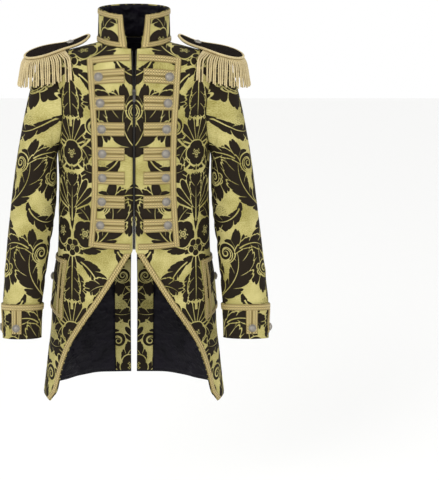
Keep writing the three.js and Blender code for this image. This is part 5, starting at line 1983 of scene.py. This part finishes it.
def twisted_tube(path, radius, turn_length, corners, start=0.0, closed=False, plies=2):
    """A twisted cord: a tube with a lobe for each ply, which turns along it."""
    u, v = frames_along(path)
    if closed:
        # the frames' own turn from end to start is spread along the loop
        miss = math.atan2(u[-1].dot(v[0]), u[-1].dot(u[0]))
    length = path_lengths(path)
    angle = np.arange(corners) / corners * math.tau
    spin = start + length / turn_length * math.tau
    if closed:
        whole = round(length[-1] / turn_length)
        spin = start + length / length[-1] * (whole * math.tau) - miss * length / length[-1]
    lobes = plies * (angle[None, :] + spin[:, None])
    out = radius * (1 - PLY_DEEP + PLY_DEEP * np.abs(np.cos(lobes / 2)) ** 0.7)
    around = u[:, None] * np.cos(angle)[None, :, None] + v[:, None] * np.sin(angle)[None, :, None]
    points = (path[:, None] + around * out[..., None]).reshape(-1, 3)
    count = len(path)
    i, k = np.meshgrid(np.arange(count - 1), np.arange(corners), indexing="ij")
    a, b = i * corners + k, i * corners + (k + 1) % corners
    faces = np.stack([a, b, b + corners, a + corners], -1).reshape(-1, 4)
    return points, faces


def tubes_object(name, tubes, material):
    points, faces, count = [], [], 0
    for tube_points, tube_faces in tubes:
        points.append(tube_points)
        faces.append(tube_faces + count)
        count += len(tube_points)
    return make_object(name, np.concatenate(points), np.concatenate(faces), [material])


# %% The edge cord
EDGE_TURN, STRAND_TURN = 11.0, 7.5  # length of one turn of the plies
for worn, side in SIDES.items():
    share = np.linspace(0.5, 1.5, 620)
    out = BOARD["cord"] + BOARD["gap"]
    height = BOARD["thick"] - BOARD["cord"]
    path = outline_point(share, out, height) * np.array([side, 1, 1])
    cord = twisted_tube(path, BOARD["cord"] + 0.15, EDGE_TURN, 16, closed=True)
    piece = tubes_object(worn + "_edge_cord", [cord], CORD)
    settle(piece, ["epaulette_cord_" + worn])

# %% The fringe
FRINGE = {"first": 0.2, "strands": 62, "radius": 2.05, "drop": 63}
REACH = {"least": 19, "most": 60, "clear": 3.6}
# how far a strand has come down and out at its seven knots: one that hangs, and one that slants
FALL = (0, 0.024, 0.11, 0.2, 0.42, 0.72, 1)
HANG_OUT = np.array([0, 0.26, 0.6, 0.88, 1, 1.03, 1.05])
SLANT_OUT = np.array([0, 0.2, 0.42, 0.56, 0.74, 0.92, 1.1])
CAP_X, CAP_EASE = 190.0, 6
cap_outer_x = curve([row[2] for row in SLEEVE_ROWS], [row[1] for row in SLEEVE_ROWS])


def clear_of_shoulder(x, y, z):
    """Whether a point stands clear of the body and of the sleeve's cap."""
    depth = float(ring["front"](z) if y < 0 else ring["back"](z)) + REACH["clear"]
    half, square = float(ring["half"](z)) + REACH["clear"], float(ring["square"](z))
    from_body = (abs(x) / half) ** square + (abs(y) / depth) ** square
    share = min(max((z - ARMHOLE_MIDDLE) / ARMHOLE_HALF, -1), 1)
    cap_depth = ARMHOLE_DEPTH * math.sqrt(1 - share * share) + CAP_EASE + REACH["clear"]
    cap_half = float(cap_outer_x(z)) - CAP_X + REACH["clear"]
    from_cap = max(0, (x - CAP_X) / cap_half) ** 2 + (y / cap_depth) ** 2
    return from_body > 1 and from_cap > 1


def reach_of(root, outwards, drop, away):
    """How far out a strand reaches to pass clear of the shoulder and the sleeve."""
    for reach in range(REACH["least"], REACH["most"]):
        places = [root + outwards * reach * part for part in away[4:]]
        heights = [root[2] - share * drop for share in FALL[4:]]
        if all(clear_of_shoulder(at[0], at[1], z) for at, z in zip(places, heights)):
            return reach
    return REACH["most"]


def strand_path(share, i):
    """A strand leaves its root outwards and turns down; at the board's end it slants away."""
    root = outline_point(np.array(share), 1.6, 0.0)
    outwards = outline_point(np.array(share), 10, 0) - outline_point(np.array(share), 0, 0)
    outwards[2] = 0
    outwards /= np.linalg.norm(outwards)
    drop = FRINGE["drop"] + 2.4 * math.sin(i * 2.4) + 1.2 * math.sin(i * 5.1)
    slant = min(max(float(outwards[0]) * 1.2, 0), 1)
    away = HANG_OUT * (1 - slant) + SLANT_OUT * slant
    away = away * reach_of(root, outwards, drop, away)
    down = np.array(FALL) * drop
    along = np.linspace(0, 1, 72)
    knots = np.linspace(0, 1, len(FALL))
    away, down = curve(knots, away)(along), curve(knots, down)(along)
    sideways = np.cross(outwards, [0, 0, 1])
    sway = 1.1 * math.sin(i * 3.7) * along**1.5 + 0.5 * np.sin(along * 7 + i) * along
    path = root + outwards * away[:, None] + sideways * sway[:, None]
    path[:, 2] -= down
    return path


def fringe_strip(side):
    """The strip that the strands are sewn to, under the board's outer edge."""
    share = spaced(0.19, 0.81, 70)[:, None]
    height = np.array([[1.9, -1.9]])
    flip = np.array([side, 1, 1])
    outer = outline_point(share + 0 * height, 2.5, height) * flip
    inner = outline_point(share + 0 * height, 0.4, height) * flip
    flat = np.zeros((*outer.shape[:2], 2))
    points, faces, _, _ = wall_data(outer, inner, flat)
    return points, faces


for worn, side in SIDES.items():
    tubes = [fringe_strip(side)]
    for i, share in enumerate(spaced(FRINGE["first"], 1 - FRINGE["first"], FRINGE["strands"] - 1)):
        path = strand_path(share, i) * np.array([side, 1, 1])
        tubes.append(twisted_tube(path, FRINGE["radius"], STRAND_TURN, 10, start=i * 1.7))
    piece = tubes_object(worn + "_fringe", tubes, CORD)
    settle(piece, ["epaulette_fringe_" + worn])


def on_board(side):
    def place(along, across, out):
        return board_point(along, across, BOARD["thick"] + out) * np.array([side, 1, 1])

    return place


radius = BUTTON_RADIUS["epaulette"]
board_spots = [spot(on_board(side), 41, 0, 0.5, radius, 0.3) for side in SIDES.values()]
piece = button_mesh("epaulette_buttons", board_spots)
settle(piece, ["epaulette_button_" + worn for worn in SIDES])

# %% [markdown]
# ## Zip
# The two tapes lie under the front edges, and the teeth mesh below the slider. Above it they lie
# apart on each tape. The slider and its pull tab are the model's own solids with enamel on them.

# %% Tapes and teeth
ZIP = {"gap": 0.3, "tape": 3.2, "closed": -116, "slider": -110}


def zip_walls():
    z = spaced(-15, WAIST + 1, 150)[:, None]
    walls = []
    for side in SIDES.values():
        outer_x = front_edge_x(z) - ZIP["gap"]
        teeth_x = np.maximum(0.4, outer_x - ZIP["tape"])
        share = spaced(0, 1, 4)[None, :]
        x = side * (outer_x + (teeth_x - outer_x) * share)
        outer = on_front(x, z + 0 * x, np.full(x.shape, -0.2))
        inner = on_front(x, z + 0 * x, np.full(x.shape, -2.0))
        walls.append(wall_data(outer, inner, np.stack([x, z + 0 * x], -1)))
    return walls


walls = zip_walls()
piece = cloth_piece("zip_tapes", walls, [TAPE])
settle(piece, ["zip"])

TOOTH = {"step": 2.3, "wide": 2.6, "tall": 1.5, "deep": 1.5}


def teeth_mesh(name):
    """Two rows of small chamfered teeth; the rows mesh below the slider."""
    chamfer = 0.35
    points, faces = [], []
    for side in SIDES.values():
        shift = 0 if side > 0 else TOOTH["step"] / 2
        for z in np.arange(-18 - shift, WAIST + 4, -TOOTH["step"]):
            edge = max(0.0, float(front_edge_x(z)) - ZIP["gap"] - ZIP["tape"])
            x = edge - 0.5 if z < ZIP["closed"] + 8 else edge
            foot = on_front(np.array(side * (x + 1.3)), np.array(z), np.array(0.1))
            up = on_front(np.array(side * (x + 1.3)), np.array(z), np.array(1.1)) - foot
            start = len(points)
            for height, shrink in ((-0.6, 0), (TOOTH["deep"] - chamfer, 0), (TOOTH["deep"], chamfer)):
                for sx, sz in ((-1, -1), (1, -1), (1, 1), (-1, 1)):
                    dx = sx * (TOOTH["wide"] / 2 - shrink)
                    dz = sz * (TOOTH["tall"] / 2 - shrink)
                    points.append(foot + up * height + np.array([dx, 0, dz]))
            faces += [(start + k for k in (3, 2, 1, 0)), (start + 8 + k for k in range(4))]
            for level in (0, 4):
                for k in range(4):
                    a, b = start + level + k, start + level + (k + 1) % 4
                    faces.append((a, b, b + 4, a + 4))
    return make_object(name, points, [tuple(face) for face in faces], [ENAMEL])


piece = teeth_mesh("zip_teeth")
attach(piece, "coat")

# %% The slider and its pull
for name in ("zip_slider", "zip_pull"):
    solid = bpy.data.objects[name]
    solid.data.materials.clear()
    solid.data.materials.append(ENAMEL)
